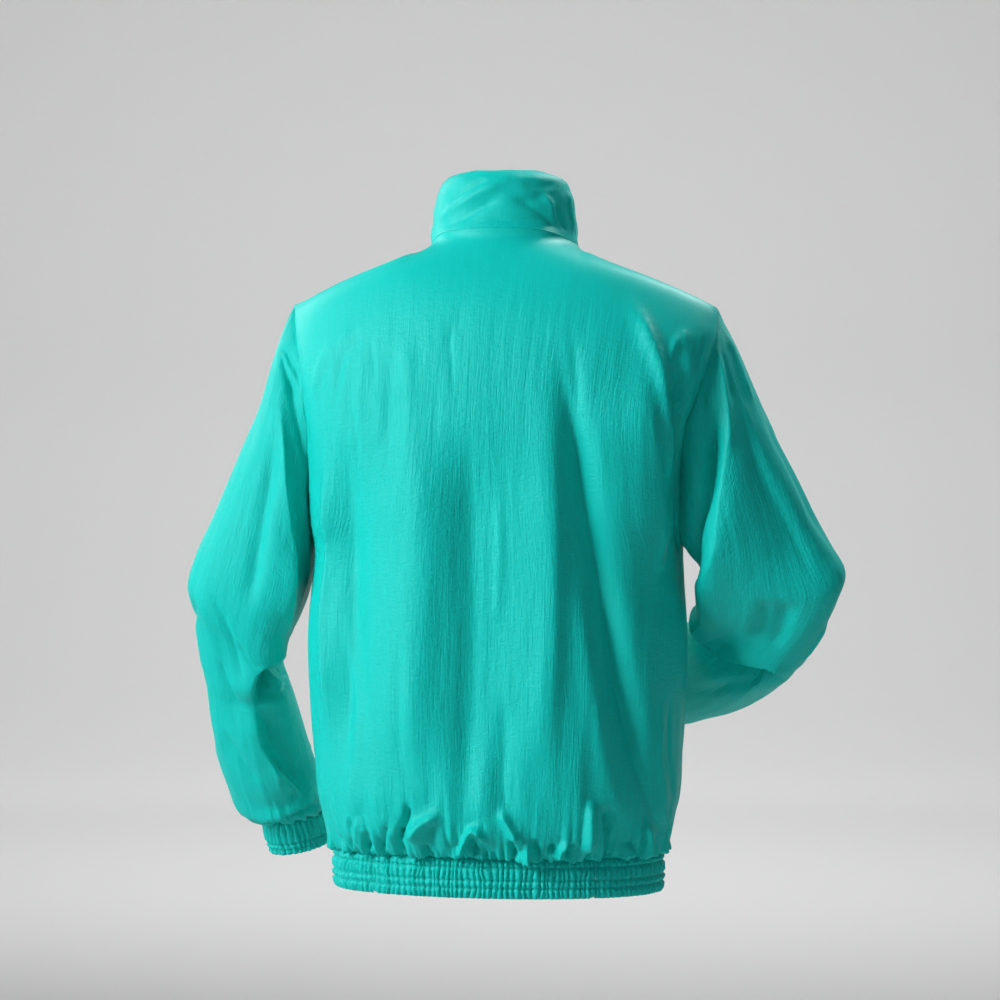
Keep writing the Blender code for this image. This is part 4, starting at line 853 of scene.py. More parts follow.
COLLAR_BACK = 0.0686
COLLAR_SIDE = 0.0725
COLLAR_FRONT = 0.080
COLLAR_WALL = 0.0026      # both layers and what is between them
COLLAR_CLOTH = 0.0005
Roll = namedtuple("Roll", "rise lean")
COLLAR_ROLL = [Roll(0, 0), Roll(0.25, 0.0015), Roll(0.5, 0.004), Roll(0.75, 0.007),
               Roll(0.9, 0.012), Roll(0.97, 0.018), Roll(1, 0.025)]
COLLAR_STEPS = 60         # columns in each quarter
COLLAR_ROWS = 30
FOLD_STEPS = 8            # round the fold at its top edge
COLLAR_CRINKLE = 0.45     # share of the fine crinkle that two layers show
COLLAR_STREAKS = 0.5      # and of the streaks
COLLAR_PUFF = 0.6         # and of the puff at a seam
COLLAR_DENTS = ((0.0007, 0.022, 0.012, 118), (0.0009, 0.045, 0.030, 119))   # depth, size and seed
COLLAR_CREASES = [
    Crease(((61, 40, -4), (36, 54, 12), (9, 58, 28), (-12, 56, 39)), 5, 7, -2.2, 0, 1.4),
    Crease(((65, 33, 14), (37, 51, 32), (9, 55, 46), (-19, 51, 54)), 6, 5, 2.4),
    Crease(((52, 42, 31), (28, 51, 47), (3, 52, 57)), 5, 4, -2, 0, 1.4),
    Crease(((56, 44, -2), (26, 58, 0), (-8, 61, 4)), 4, 4, 1.5),
    Crease(((9, 60, 12), (-24, 58, 9), (-59, 40, 12)), 3, 3, -1.4, 0, 1.4),
    Crease(((-18, 55, 39), (-39, 50, 28), (-57, 42, 11), (-68, 32, -3)), 5, 5, -2.4, 0, 1.4),
    Crease(((-48, 42, 46), (-58, 38, 30), (-64, 35, 12)), 5, 4, 2.7, 0, 1.5),
    Crease(((-60, 36, 30), (-68, 30, 14), (-73, 24, 1)), 4, 4, -3, 0, 1.4),
    Crease(((-70, 6, 51), (-73, 13, 32), (-76, 11, 13), (-79, 7, -4)), 3, 3, 2.7, 0, 1.4),
    Crease(((-75, 2, 38), (-77, 5, 16), (-80, 5, -6)), 2.5, 2.5, -2.4, 0, 1.4),
    Crease(((-27, 49, 54), (-46, 42, 50), (-62, 24, 54)), 5, 4, -1.8),
    Crease(((-55, 43, -4), (-68, 32, -6), (-70, -30, -7)), 4, 4, -2.4, 0, 1.4),
    Crease(((20, -74, -30), (44, -62, -10), (66, -39, 4)), 6, 6, -2.3, 0, 1.4),
    Crease(((16, -73, -10), (38, -57, 16), (60, -38, 30)), 6, 6, 2.1),
    Crease(((-70, -33, 0), (-44, -62, -14), (-22, -74, -34)), 6, 6, -2.3, 0, 1.4),
    Crease(((-64, -34, 28), (-40, -59, 12), (-18, -73, -14)), 6, 6, 2.1),
    Crease(((34, 48, 38), (50, -37, 34), (64, -29, 36)), 5, 5, -1.6),
    Crease(((-62, -32, 36), (-44, 43, 38), (-30, 50, 34)), 5, 5, -1.6),
]


def collar_half(side):
    """Half the collar's face, from the nape round to the front: it rises off the neck and rolls in."""
    steps = np.linspace(0, 1, COLLAR_STEPS + 1)
    base = np.vstack([neck_line(NAPE, 0.0, steps), neck_line(PIT, ZIP_HALF, steps)[-2::-1]])
    toward = np.arctan2(base[:, 1], base[:, 0])
    end_height = np.where(toward > 0, COLLAR_BACK, COLLAR_FRONT)
    height = COLLAR_SIDE + (end_height - COLLAR_SIDE) * np.sin(toward)**2
    roll = np.where(toward > 0, 1.0, 1.0 - 0.5 * np.sin(toward)**2)
    depth = np.where(toward > 0, NAPE[1], -PIT[1])
    out = unit(np.stack([base[:, 0] / NECK_SIDE[0]**2, base[:, 1] / depth**2, 0 * depth], axis=1))
    out[[0, -1]] = unit(out[[0, -1]] * (0, 1, 0))
    rows = np.array([base - out * (step.lean * roll)[:, None] + np.outer(step.rise * height, (0, 0, 1))
                     for step in COLLAR_ROLL])
    knots = travelled(rows)
    return spline(knots, rows, np.linspace(0, knots[-1], COLLAR_ROWS)) * mirror[side]


collar_face = np.hstack([collar_half("right")[:, :0:-1], collar_half("left")])
collar_base = collar_face.copy()
collar_out = grid_normals(collar_face)
u, v = cloth_map(collar_face)
top = v.max() - v
ends = np.minimum(u, u.max() - u)
free = smooth(v / 0.010) * smooth(ends / 0.010)
lift = PUFF * COLLAR_PUFF * (1 - fade(ends, SEAM_RISE)) * (1 - fade(v, TOP_RISE))
lift = lift + free * COLLAR_STREAKS * crinkle(v, u, 110)
lift = lift + free * relief(collar_face, collar_out, COLLAR_CREASES)
for dent, width, length, seed in COLLAR_DENTS:
    lift = lift + free * dent * noise(u, v, width, length, seed)
collar_face = collar_face + neck_fill(collar_face[0], v) + collar_out * lift[..., None]
# Over the fold at the top, and down the inside.
up = unit(np.cross(np.gradient(collar_face, axis=1)[-1], collar_out[-1]))
up *= np.sign(up[:, 2:])
fold_radius = COLLAR_WALL / 2
fold = []
for angle in np.linspace(0, np.pi, FOLD_STEPS)[1:-1]:
    inwards = collar_out[-1] * fold_radius * (1 - np.cos(angle))
    fold.append(collar_face[-1] - inwards + up * fold_radius * np.sin(angle))
inside = (collar_face - collar_out * COLLAR_WALL)[::-1]
collar_strip = np.concatenate([collar_face, fold, inside])
u, v = cloth_map(collar_strip)
collar = cloth_piece("collar_cloth", collar_strip, u, v, calm=np.full(u.shape, COLLAR_CRINKLE),
                     thickness=COLLAR_CLOTH)
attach(collar, "jacket")
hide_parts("collar")


# ---------------------------------------------------------------- hem band
# A tube of the nylon round a wide elastic, in three pieces that are seamed towards the sides.
# Three rows of stitching hold the elastic, and between them the cloth stands in small pleats.

CLOTH = 0.0016
SEAM_GAP = 0.0003
ELASTIC_BULGE = 0.0015
BACK_BAND_HALF = 0.122
PLEAT = 0.0039
PLEAT_AT_SEAM = 0.25      # share of their height that the pleats keep at the seam
PLEAT_AT_STITCH = 0.35    # and on a row of stitching
STITCH_DRAW = 0.0010      # how far the stitching draws the cloth in
STITCH_HOLD = 0.035       # share of the height over which a row holds it
BAND_TURN_IN = 0.0016     # how far the free edge turns in
BAND_NOTCH = 0.0022       # how far the back piece's lower edge is drawn up at its two ends
PLEAT_FULLNESS = 1.4      # metres of cloth in each metre of pleats
BAND_PLEAT_PITCH = 0.0058
BAND_WANDER = 0.0016      # how far its pleats stray
BAND_TUCK = ((0.0004, 0.0012), (-0.0004, 0.0060))    # outwards and up, for each row of its upper edge
BAND_COLUMN = 0.0010
BAND_LINE_STEPS = 700
BAND_ROWS = 26
ELASTIC_CLOTH = 0.0010    # the cloth of the band and the cuffs
STITCH_ROWS = (0.26, 0.46, 0.79)     # shares of the band's height, up from its lower edge
BODY_MIDDLE = (0, 0.03, 0)


def pleat_wave(distance, pitch, seed):
    """Rounded pleats of uneven width and height along this distance."""
    random = np.random.default_rng(seed)
    length = distance.max()
    count = max(3, round(length / pitch))
    edges = np.concatenate([[0], np.cumsum(random.uniform(0.65, 1.35, count))])
    edges *= length / edges[-1]
    which = np.clip(np.searchsorted(edges, distance, side="right") - 1, 0, count - 1)
    phase = (distance - edges[which]) / (edges[which + 1] - edges[which])
    tall = random.uniform(0.65, 1.15, count)
    return np.sin(np.pi * np.clip(phase, 0, 1))**0.55 * tall[which]


def elastic_lift(wall, wave, share, stitch_rows, to_seam, to_edge, turned_in):
    """How far the cloth stands off the elastic: it bulges and is pleated, the stitching draws it
    in, and its free edge is turned in.  'share' and the stitching's rows are shares of its height."""
    held = sum(fade(share - row, STITCH_HOLD, 2) for row in stitch_rows)
    loose = 1 - np.clip(held, 0, 1)
    wave = wave * (PLEAT_AT_SEAM + (1 - PLEAT_AT_SEAM) * smooth(to_seam / 0.10))
    pleats = PLEAT * wave * (PLEAT_AT_STITCH + (1 - PLEAT_AT_STITCH) * loose)
    return (wall + ELASTIC_BULGE * 4 * share * (1 - share) + pleats
            - STITCH_DRAW * (1 - loose) - turned_in * fade(to_edge, 0.05))


def level_way_out(line):
    """The level way out of the body at each point of a line round it."""
    flat = line * (1, 1, 0)
    out = unit(np.cross(np.gradient(flat, axis=0), (0, 0, 1)))
    return out * np.sign((out * (flat - BODY_MIDDLE)).sum())


band_lines = {}
fine = np.linspace(0, 1, BAND_LINE_STEPS)
for side in SIDES:
    back_line = section_line(BACK[0], side, 0.0, fine)
    front_line = section_line(FRONT[0], side, ZIP_HALF, fine)
    line = np.vstack([back_line, front_line[-2::-1]]) * mirror[side]
    split = int(np.argmax(np.abs(line[:, 0]) > BACK_BAND_HALF))
    band_lines[side] = (line[:split + 1], line[split:])
band_pieces = {"back": np.vstack([band_lines["right"][0][::-1], band_lines["left"][0][1:]]),
               "left": band_lines["left"][1], "right": band_lines["right"][1]}
band_surface = {}
for seed, (name, line) in enumerate(band_pieces.items(), start=130):
    length = np.linalg.norm(np.diff(line, axis=0), axis=1).sum()
    behind = line - level_way_out(line) * (CLOTH + BAND_INSET)
    path = spaced(behind, np.linspace(0, 1, round(length / BAND_COLUMN)))
    path[:, 2] = HEM_Z - SEAM_GAP - BAND_HEIGHT
    way_out = level_way_out(path)
    distance = np.linspace(0, length, len(path))
    u, share = np.meshgrid(distance, np.linspace(0, 1, BAND_ROWS))
    wander = BAND_WANDER * noise(u, share * BAND_HEIGHT, 0.012, 0.010, seed + 10)
    wave = pleat_wave(np.clip(u + wander, 0, length), BAND_PLEAT_PITCH, seed)
    swell = elastic_lift(CLOTH, wave, share, STITCH_ROWS, 1 - share, share, BAND_TURN_IN)
    near_seam = fade(np.minimum(u, length - u), 0.004, 2)
    swell = swell - STITCH_DRAW * near_seam
    height = share * BAND_HEIGHT
    if name == "back":
        height = height + BAND_NOTCH * near_seam * (1 - share)**3
    grid = path[None] + way_out[None] * swell[..., None] + height[..., None] * np.array((0, 0, 1))
    band_surface[name] = (grid, way_out)
    # Its top edge is turned in behind the panels that are sewn to it.
    tucked = [path + way_out * outwards + np.array((0, 0, BAND_HEIGHT + upwards))
              for outwards, upwards in BAND_TUCK]
    u, share = np.meshgrid(distance, np.append(share[:, 0], (1.03, 1.15)))
    band = cloth_piece("hem_band_cloth_" + name, np.concatenate([grid, tucked]), u * PLEAT_FULLNESS,
                       share * BAND_HEIGHT, thickness=ELASTIC_CLOTH)
    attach(band, "jacket")
    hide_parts("hem_band_" + name)


# ---------------------------------------------------------------- cuffs
# A short tube of the nylon round an elastic, on the end of each sleeve and in line with it.  Two
# rows of stitching hold the elastic near the lower edge.

CUFF_HEIGHT = 0.040
CUFF_INSET = 0.0008
CUFF_PLEAT_PITCH = 0.0056
CUFF_WANDER = 0.0012
CUFF_TUCK = ((0.0022, 0.0060), (0.0012, 0.0012))     # inwards and up, for each row of its upper edge
CUFF_TURN_IN = 0.0014
CUFF_COLUMNS = 280
CUFF_ROWS = 20
CUFF_STITCH_ROWS = (0.70, 0.86)      # shares of the way from the sleeve to the cuff's end
cuff_surface = {}
for seed, side in ((150, "left"), (160, "right")):
    last = SLEEVE[side][-1]
    out_point = np.array(last[0:3]) * mirror[side]
    in_point = np.array(last[3:6]) * mirror[side]
    middle, across = (out_point + in_point) / 2, (out_point - in_point) / 2
    way = np.array(CUFF_WAY[side]) * mirror[side]
    depth = unit(np.cross(across, way)) * SIDES[side]
    way = unit(np.cross(depth, across)) * SIDES[side]
    turn = np.linspace(0, 2 * np.pi, CUFF_COLUMNS, endpoint=False)
    inset = CLOTH + CUFF_INSET
    deep = np.where(np.sin(turn) > 0, last.back, last.front) - inset
    plain = (np.outer(np.cos(turn), unit(across) * (np.linalg.norm(across) - inset))
             + np.outer(np.sin(turn) * deep, depth))
    way_out = unit(plain)
    around = np.linalg.norm(np.roll(plain, -1, axis=0) - plain, axis=1).sum()
    start = middle + way * SEAM_GAP
    distance = np.linspace(0, around, CUFF_COLUMNS, endpoint=False)
    u, share = np.meshgrid(distance, np.linspace(0, 1, CUFF_ROWS))
    wander = CUFF_WANDER * noise(u, share * CUFF_HEIGHT, 0.012, 0.012, seed + 1, around)
    wave = pleat_wave((u + wander) % around, CUFF_PLEAT_PITCH, seed)
    wall = CLOTH * smooth(share / 0.04)
    swell = elastic_lift(wall, wave, share, CUFF_STITCH_ROWS, share, 1 - share, CUFF_TURN_IN)
    grid = (start + plain)[None] + way_out[None] * swell[..., None] + way * (share * CUFF_HEIGHT)[..., None]
    cuff_surface[side] = (grid, way_out)
    # Its upper edge is turned in behind the sleeve that is sewn to it.
    tucked = [start + plain - way_out * inwards - way * upwards
              for inwards, upwards in CUFF_TUCK]
    u, share = np.meshgrid(distance, np.append((-0.15, -0.03), share[:, 0]))
    cuff = cloth_piece("cuff_cloth_" + side, np.concatenate([tucked, grid]), u * PLEAT_FULLNESS,
                       share * CUFF_HEIGHT, closed=True, thickness=ELASTIC_CLOTH)
    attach(cuff, "jacket")
    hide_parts("cuff_" + side)


# ---------------------------------------------------------------- zip tapes and teeth
# Two woven tapes are sewn behind the fronts' edges, and a row of moulded plastic teeth on the edge
# of each meshes with the other's.  The zip is closed up to the top of the collar.

ZIP_DEPTH = 0.0036        # the tapes' faces behind the cloth's
CHAIN_HALF = 0.0026
CHAIN_PROUD = 0.0008
CHAIN_WALL = 0.0024
TAPE_CLEAR = 0.0004
TAPE_WIDTH = 0.013
TAPE_WALL = 0.0010
TAPE_COLUMNS = 9
TOOTH = (0.0033, 0.0022, 0.00145)    # across, through and along the zip
TOOTH_PITCH = 0.0026
TOOTH_ENDS = (0.0013, 0.0010)        # from the zip's lower and upper ends to the teeth
ZIP_TEAL = (0.010, 0.300, 0.270)


def woven_tape():
    """Twill tape, with fine diagonal ribs across the weave."""
    material, shader = new_material("zip_tape_twill")
    place = add_node(material, "TexCoord", {})
    ribs = add_node(material, "TexWave", {"Vector": place.outputs["UV"], "Scale": 420.0, "Distortion": 0.6})
    ribs.bands_direction = "DIAGONAL"
    tint(material, shader, ribs.outputs["Fac"], [0.75 * part for part in ZIP_TEAL],
         [1.15 * part for part in ZIP_TEAL])
    bump = add_node(material, "Bump", {"Height": ribs.outputs["Fac"], "Strength": 0.6, "Distance": 0.0003})
    wire(material, shader, {"Roughness": 0.8, "Normal": bump.outputs["Normal"]})
    return material


def finish(name, colour, roughness, metallic, mark_size, mark_depth):
    """A moulded, cast or spun surface, slightly uneven in tone, gloss and level."""
    material, shader = new_material(name)
    place = add_node(material, "TexCoord", {})
    marks = add_node(material, "TexNoise", {"Vector": place.outputs["Object"], "Scale": 1 / mark_size,
                                            "Detail": 4.0}).outputs["Fac"]
    tint(material, shader, marks, [0.86 * part for part in colour], [1.10 * part for part in colour])
    gloss(material, shader, marks, roughness - 0.08, roughness + 0.10)
    bump = add_node(material, "Bump", {"Height": marks, "Strength": 0.5, "Distance": mark_depth})
    wire(material, shader, {"Metallic": metallic, "Normal": bump.outputs["Normal"]})
    return material


def zip_edge(side, away):
    """A line up the front beside the zip, this far from its middle and on the cloth's face."""
    front, collar = body_grids["front_" + side], collar_base
    edge, next_in = (collar[:, -1], collar[:, -2]) if side == "left" else (collar[:, 0], collar[:, 1])
    edge = np.vstack([front[:1, 0] - (0, 0, BAND_HEIGHT), front[:, 0], edge[1:]])
    next_in = np.vstack([front[:1, 1] - (0, 0, BAND_HEIGHT), front[:, 1], next_in[1:]])
    return edge + unit(next_in - edge) * (away - ZIP_HALF)


zip_middle = zip_edge("left", ZIP_HALF) * (0, 1, 1)
zip_slope = unit(np.gradient(zip_middle, axis=0))
zip_behind = np.stack([0 * zip_slope[:, 0], zip_slope[:, 2], -zip_slope[:, 1]], axis=1)
zip_depth = np.full((len(zip_middle), 1), ZIP_DEPTH)
zip_depth[:2] += BAND_INSET
zip_along = travelled(zip_middle)
tape_twill = woven_tape()
for side in SIDES:
    strips = []
    for share in np.linspace(0, 1, TAPE_COLUMNS):
        away = CHAIN_HALF + TAPE_CLEAR + (TAPE_WIDTH - TAPE_CLEAR) * share
        strips.append(zip_edge(side, away) + zip_behind * zip_depth)
    u, v = np.meshgrid(np.linspace(0, TAPE_WIDTH - TAPE_CLEAR, TAPE_COLUMNS), zip_along)
    tape = cloth_piece("zip_tape_cloth_" + side, np.stack(strips, axis=1), u, v, thickness=TAPE_WALL,
                       outward=(0, -1, 0), material=tape_twill)
    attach(tape, "jacket")
    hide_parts("zip_tape_" + side)


def take_apart(piece):
    """The points and faces of a small shape that is laid down many times; the shape itself goes."""
    points = np.array([point.co for point in piece.data.vertices])
    faces = [list(face.vertices) for face in piece.data.polygons]
    bpy.data.objects.remove(piece, do_unlink=True)
    return points, faces


def laid_copies(name, shape, centres, across, through, along, material):
    """One mesh of copies of a small shape, each turned to its own three directions."""
    points, faces = shape
    places = (centres[:, None] + points[None, :, 0:1] * across[:, None]
              + points[None, :, 1:2] * through[:, None] + points[None, :, 2:3] * along[:, None])
    mesh = bpy.data.meshes.new(name)
    mesh.from_pydata(places.reshape(-1, 3).tolist(), [], [[corner + len(points) * k for corner in face]
                                                          for k in range(len(centres)) for face in faces])
    return put_in_scene(name, mesh, material)


# One tooth, rounded, and its copies along the zip.
bpy.ops.mesh.primitive_cube_add(size=1)
tooth = bpy.context.object
tooth.scale = TOOTH
bpy.ops.object.transform_apply(location=False, rotation=False, scale=True)
bpy.ops.object.mode_set(mode="EDIT")
bpy.ops.mesh.select_all(action="SELECT")
bpy.ops.mesh.bevel(offset=0.00035, segments=1)
bpy.ops.mesh.normals_make_consistent(inside=False)
bpy.ops.object.mode_set(mode="OBJECT")
places, pushes, slopes = [], [], []
for start, sign in ((TOOTH_ENDS[0], 1), (TOOTH_ENDS[0] + TOOTH_PITCH / 2, -1)):
    at = np.arange(start, zip_along[-1] - TOOTH_ENDS[1], TOOTH_PITCH)
    push = unit(read_at(at, zip_along, zip_behind))
    depth = read_at(at, zip_along, zip_depth) - CHAIN_PROUD + CHAIN_WALL / 2
    places.append(read_at(at, zip_along, zip_middle) + push * depth
                  + np.array((sign * (CHAIN_HALF - TOOTH[0] / 2), 0, 0)))
    pushes.append(push)
    slopes.append(unit(read_at(at, zip_along, zip_slope)))
places, pushes, slopes = np.vstack(places), np.vstack(pushes), np.vstack(slopes)
sideways = np.tile((1.0, 0.0, 0.0), (len(places), 1))
moulded = finish("moulded_teeth", ZIP_TEAL, 0.42, 0.0, 0.0008, 0.00003)
teeth = laid_copies("zip_teeth", take_apart(tooth), places, sideways, pushes, slopes, moulded)
select_only(teeth)
bpy.ops.object.mode_set(mode="EDIT")
bpy.ops.mesh.select_all(action="SELECT")
bpy.ops.mesh.normals_make_consistent(inside=False)
bpy.ops.object.mode_set(mode="OBJECT")
bpy.ops.object.shade_smooth_by_angle(angle=np.radians(35))
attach(teeth, "jacket")
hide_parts("zip_chain")


# ---------------------------------------------------------------- slider and pull tab
# The slider is die-cast with a wire bow on its face, and grips the teeth near the collar's top.
# The pull is a flat stamped tab with an eye, which turns on the bow.

SLIDER = (0.0080, 0.0032, 0.0110)    # across, through and along the zip, as for the pull
SLIDER_NARROWS = (0.0010, -0.0035)   # levels between which it grows narrow
SLIDER_TAIL, SLIDER_HEAD = 0.74, 0.90    # shares of the width that are left at its two ends
SLIDER_BELOW_TOP = 0.013
CROWN_HALF = 0.0034
CROWN_RISE = 0.0027
CROWN_WIRE = 0.0006       # its radius
CROWN_SUNK = 0.0004       # how far its ends reach into the slider
PULL = (0.0052, 0.0012, 0.0250)
PULL_BAR = 0.0006
PULL_HOLE = (0.0026, 0.0040)
PULL_AXIS = 0.00105       # of its turn, off the slider's face
PULL_PANEL_TOP = -0.0068
ZIP_METAL = (0.42, 0.44, 0.45)
slider_back = ZIP_DEPTH - CHAIN_PROUD - SEAM_GAP
slider_face = slider_back - SLIDER[1]
slider_along = np.array([zip_along[-1] - SLIDER_BELOW_TOP])
slider_at = read_at(slider_along, zip_along, zip_middle)[0]
slider_in = read_at(slider_along, zip_along, zip_behind)[0]
slider_tilt = np.arctan2(slider_in[2], slider_in[1])
cast_metal = finish("cast_metal", ZIP_METAL, 0.34, 1.0, 0.0012, 0.00002)


def pick(piece, chosen):
    """Select, in edit mode, the faces for whose middle and normal 'chosen' is true."""
    bpy.ops.object.mode_set(mode="OBJECT")
    for face in piece.data.polygons:
        face.select = bool(chosen(face.center, face.normal))
    bpy.ops.object.mode_set(mode="EDIT")


def new_block(name, size, middle):
    """A block at this place, in edit mode with face select."""
    bpy.ops.object.select_all(action="DESELECT")
    bpy.ops.mesh.primitive_cube_add(size=1, location=middle)
    piece = bpy.context.object
    piece.name = name
    piece.scale = size
    bpy.ops.object.transform_apply(location=True, rotation=False, scale=True)
    bpy.ops.object.mode_set(mode="EDIT")
    bpy.context.tool_settings.mesh_select_mode = (False, False, True)
    bpy.ops.mesh.select_all(action="SELECT")
    return piece


def round_edges(piece, width, segments):
    """Bevel the sharp edges of a block."""
    bpy.ops.object.mode_set(mode="OBJECT")
    bpy.context.view_layer.objects.active = piece
    edges = piece.modifiers.new("edges", "BEVEL")
    edges.width = width
    edges.segments = segments
    edges.limit_method = "ANGLE"
    bpy.ops.object.modifier_apply(modifier=edges.name)


def set_on_zip(piece, forward, body, node):
    """Turn a piece to the zip's slope at the slider, give it its metal, fix it to its body and hide the part
    it replaces.
    """
    select_only(piece)
    piece.rotation_euler = (slider_tilt, 0, 0)
    piece.location = slider_at + forward * np.array((0, np.cos(slider_tilt), np.sin(slider_tilt)))
    bpy.ops.object.transform_apply(location=True, rotation=True, scale=True)
    bpy.ops.object.shade_smooth_by_angle(angle=np.radians(32))
    piece.data.materials.clear()
    piece.data.materials.append(cast_metal)
    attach(piece, body)
    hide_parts(node)


# The slider: wide at the top where the rows part, narrow below, with a groove down each flank.
slider = new_block("zip_slider_cast", SLIDER, (0, slider_back - SLIDER[1] / 2, 0))
for height in SLIDER_NARROWS:
    bpy.ops.mesh.select_all(action="SELECT")
    bpy.ops.mesh.bisect(plane_co=(0, 0, height), plane_no=(0, 0, 1))
bpy.ops.object.mode_set(mode="OBJECT")
for point in slider.data.vertices:
    if point.co.z < -0.0030:
        point.co.x *= SLIDER_TAIL
    elif point.co.z > 0.0050:
        point.co.x *= SLIDER_HEAD
pick(slider, lambda middle, normal: abs(normal.x) > 0.8)
bpy.ops.mesh.inset(thickness=0.0008, depth=0.0)
bpy.ops.transform.resize(value=(0.80, 1, 1), center_override=(0, slider_back - SLIDER[1] / 2, 0))
pick(slider, lambda middle, normal: normal.y < -0.9)
bpy.ops.mesh.inset(thickness=0.0007, depth=-0.0002)
round_edges(slider, 0.00035, 3)
bpy.ops.object.select_all(action="DESELECT")
bpy.ops.mesh.primitive_torus_add(location=(0, slider_face + CROWN_SUNK, 0), rotation=(0, np.pi / 2, 0),
                                 major_radius=CROWN_HALF, minor_radius=CROWN_WIRE, major_segments=40,
                                 minor_segments=12)
bow = bpy.context.object
bow.scale = (1, (CROWN_RISE + CROWN_SUNK) / CROWN_HALF, 1)
bpy.ops.object.transform_apply(location=True, rotation=True, scale=True)
bpy.ops.object.mode_set(mode="EDIT")
bpy.ops.mesh.select_all(action="SELECT")
bpy.ops.mesh.bisect(plane_co=(0, slider_face + 0.0005, 0), plane_no=(0, 1, 0), clear_outer=True,
                    use_fill=True)
bpy.ops.object.mode_set(mode="OBJECT")
slider.select_set(True)
bpy.context.view_layer.objects.active = slider
bpy.ops.object.join()
set_on_zip(slider, 0, "jacket", "zip_slider")

# The pull: a tab with an eye at its top and a shallow panel on each face below it.
pull = new_block("zip_pull_tab", PULL, (0, 0, PULL_BAR - PULL[2] / 2))
bpy.ops.mesh.bisect(plane_co=(0, 0, PULL_PANEL_TOP), plane_no=(0, 0, 1))
pick(pull, lambda middle, normal: abs(normal.y) > 0.9 and middle.z < PULL_PANEL_TOP)
bpy.ops.mesh.inset(thickness=0.0009, depth=-0.00022)
bpy.ops.object.mode_set(mode="OBJECT")
eye = new_block("eye", (PULL_HOLE[0], 2 * PULL[1], PULL_HOLE[1]), (0, 0, -PULL_BAR - PULL_HOLE[1] / 2))
bpy.ops.object.mode_set(mode="OBJECT")
corners = eye.modifiers.new("corners", "BEVEL")
corners.width = 0.0006
corners.segments = 3
bpy.ops.object.modifier_apply(modifier=corners.name)
cut = pull.modifiers.new("eye", "BOOLEAN")
cut.object = eye
cut.operation = "DIFFERENCE"
bpy.context.view_layer.objects.active = pull
bpy.ops.object.modifier_apply(modifier=cut.name)
bpy.data.objects.remove(eye, do_unlink=True)
round_edges(pull, 0.00022, 2)
set_on_zip(pull, slider_face - PULL_AXIS, "pull", "zip_pull")


# ---------------------------------------------------------------- stitching
# Lockstitch in spun thread of the cloth's colour: three rows round the hem band and two round each
# cuff that hold the elastic, a row round each armhole, and one up each side of the zip.

STITCH_PITCH = 0.0028
STITCH_LENGTH = 0.0021
STITCH_SPAN = 0.0008      # half of what a stitch's direction is read over
STITCH_PROUD = 0.00012    # how far its middle stands off the cloth
THREAD = 0.00026          # radius
bpy.ops.object.select_all(action="DESELECT")
bpy.ops.mesh.primitive_uv_sphere_add(segments=5, ring_count=3, radius=1)
bead_points, bead_faces = take_apart(bpy.context.object)
stitch = (bead_points * (THREAD, THREAD, STITCH_LENGTH / 2), bead_faces)
thread = finish("spun_thread", (0.002, 0.470, 0.420), 0.62, 0.0, 0.0004, 0.00005)


def stitched(name, lines):
    """Rows of stitches along lines of points, each with the cloth's normals beside it."""
    centres, ways, normals = [], [], []
    for points, facing in lines:
        along = travelled(points)
        at = np.arange(STITCH_PITCH / 2, along[-1], STITCH_PITCH)
        way = unit(read_at(at + STITCH_SPAN, along, points) - read_at(at - STITCH_SPAN, along, points))
        normal = read_at(at, along, facing)
        normal = unit(normal - (normal * way).sum(axis=1, keepdims=True) * way)
        centres.append(read_at(at, along, points) + normal * STITCH_PROUD)
        ways.append(way)
        normals.append(normal)
    centres, ways, normals = np.vstack(centres), np.vstack(ways), np.vstack(normals)
    row = laid_copies(name, stitch, centres, normals, np.cross(ways, normals), ways, thread)
    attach(row, "jacket")


def row_at(grid, share):
    """The line across a grid at this share of its height."""
    low = int(share * (len(grid) - 1))
    part = share * (len(grid) - 1) - low
    return grid[low] * (1 - part) + grid[low + 1] * part


stitched("hem_stitching", [(row_at(grid, share), way_out) for grid, way_out in band_surface.values()
                           for share in STITCH_ROWS])
for side, (grid, way_out) in cuff_surface.items():
    stitched("cuff_stitching_" + side, [(row_at(grid, share), way_out) for share in CUFF_STITCH_ROWS])
# The armhole's row runs on the body three columns in, from the underarm up to the shoulder.
first_row = len(ROWS_BELOW) - 1
for side in SIDES:
    rows = []
    for name, inner in (("back", (-3, -4) if side == "left" else (2, 3)), ("front_" + side, (-3, -4))):
        grid = body_points[name][first_row:-2]
        line = (grid[:, inner[0]] + grid[:, inner[1]]) / 2
        rows.append((line, grid_normals(body_points[name])[first_row:-2, inner[1]]))
    stitched("armhole_stitching_" + side, rows)
    grid = body_points["front_" + side]
    column = 3 if side == "right" else -4
    rise = np.vstack([grid[:-1, 4], collar_face[2:-2, column]])
    facing = np.vstack([grid_normals(grid)[:-1, 4], collar_out[2:-2, column]])
    stitched("zip_stitching_" + side, [(rise, facing)])


# ---------------------------------------------------------------- floor, light and camera
# A wide pale floor whose rim curves up.  Two softboxes at the camera's left light the jacket, two
# weaker ones fill its shade, and two beyond it draw a pale line along its shoulders.

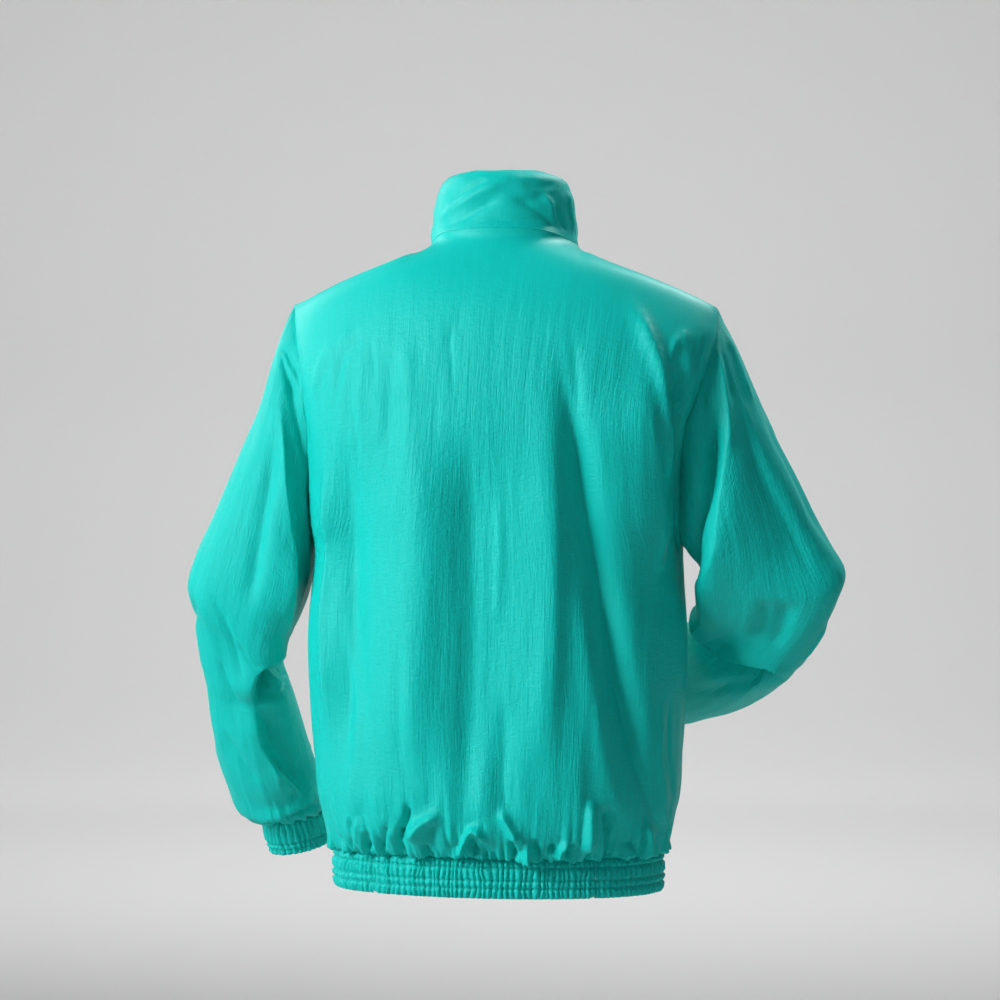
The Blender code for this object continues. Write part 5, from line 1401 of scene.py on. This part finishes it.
FLOOR_Z = -1.25
FLOOR_PROFILE = ((0.0, 0.0), (5.1, 0.0), (6.4, 0.12), (7.6, 0.50), (8.5, 1.20), (9.1, 2.30), (9.4, 4.6))
FLOOR_TURNS = 96
FLOOR_RINGS = 48
floor_mesh = bpy.data.meshes.new("floor")
turns = np.linspace(0, 2 * np.pi, FLOOR_TURNS, endpoint=False)
profile = spline(np.arange(7.0), np.array(FLOOR_PROFILE), np.linspace(0, 6, FLOOR_RINGS + 1))
points = [(0.0, 0.0, FLOOR_Z)]
for away, rise in profile[1:]:
    points += [(away * np.cos(turn), away * np.sin(turn), FLOOR_Z + rise) for turn in turns]
faces = [(0, 1 + k, 1 + (k + 1) % FLOOR_TURNS) for k in range(FLOOR_TURNS)]
for low in range(1, 1 + FLOOR_TURNS * (FLOOR_RINGS - 1), FLOOR_TURNS):
    high = low + FLOOR_TURNS
    for k in range(FLOOR_TURNS):
        after = (k + 1) % FLOOR_TURNS
        faces.append((low + k, high + k, high + after, low + after))
floor_mesh.from_pydata(points, [], faces)
pale, pale_shader = new_material("pale_floor")
wire(pale, pale_shader, {"Base Color": (0.72, 0.72, 0.72, 1), "Roughness": 0.85})
floor = put_in_scene("floor", floor_mesh, pale)


def soft_light(name, place, aim, size, power, spread=180):
    """A rectangular softbox aimed at a point, which lights no further aside than its spread."""
    bpy.ops.object.light_add(type="AREA", location=place)
    light = bpy.context.object
    light.name = name
    light.data.shape = "RECTANGLE"
    light.data.size, light.data.size_y = size
    light.data.energy = power
    light.data.spread = np.radians(spread)
    toward = np.array(aim) - np.array(place)
    yaw = np.arctan2(toward[0], -toward[1])
    pitch = np.arctan2(np.hypot(toward[0], toward[1]), -toward[2])
    light.rotation_euler = (pitch, 0, yaw + np.pi)


soft_light("key", (2.26, 2.08, 1.25), (0.0, 0.05, -0.30), (1.0, 1.4), 12.3, spread=60)
soft_light("key_low", (4.05, 1.95, -0.25), (0.0, 0.05, -0.40), (1.0, 2.0), 8.6, spread=70)
soft_light("fill", (-0.50, 2.90, 2.10), (0.0, 0.05, -0.30), (1.8, 1.8), 5)
soft_light("right", (-2.25, 1.45, 1.85), (0.0, 0.05, -0.30), (1.2, 1.2), 4)
soft_light("rim_right", (-1.1, -1.7, 2.3), (-0.15, 0.05, -0.15), (0.6, 1.6), 12.3, spread=70)
soft_light("rim_left", (2.2, -1.2, 1.1), (0.15, 0.05, -0.20), (0.5, 1.6), 3.4, spread=70)
# Lamps above the jacket that face away from it and light the floor and its rim all round.
STAGE_LAMPS = (("behind", -78, 215), ("before", 102, 65), ("at_left", 12, 65), ("at_right", -168, 60))
LAMP_OUT, LAMP_RISE = 2.4, 3.4
AIM_OUT, AIM_RISE = 8.0, -0.8
for name, turn, power in STAGE_LAMPS:
    way = np.array((np.cos(np.radians(turn)), np.sin(np.radians(turn)), 0.0))
    place, aim = way * LAMP_OUT + (0, 0, LAMP_RISE), way * AIM_OUT + (0, 0, AIM_RISE)
    soft_light("stage_" + name, place, aim, (3.0, 1.0), power, spread=140)
world = bpy.data.worlds.new("studio")
bpy.context.scene.world = world
world.use_nodes = True
world.node_tree.nodes["Background"].inputs["Color"].default_value = (0.95, 0.97, 1.0, 1)
world.node_tree.nodes["Background"].inputs["Strength"].default_value = 0.025

CAMERA_TURN = np.radians(12)
CAMERA_PLACE = (-0.702, 3.327, -0.290)
bpy.ops.object.camera_add(location=CAMERA_PLACE, rotation=(np.pi / 2, 0, np.pi + CAMERA_TURN))
camera = bpy.context.object
camera.data.lens = 111.3
camera.data.sensor_width = 36.0
bpy.context.scene.camera = camera

bpy.context.scene.view_settings.view_transform = "Standard"
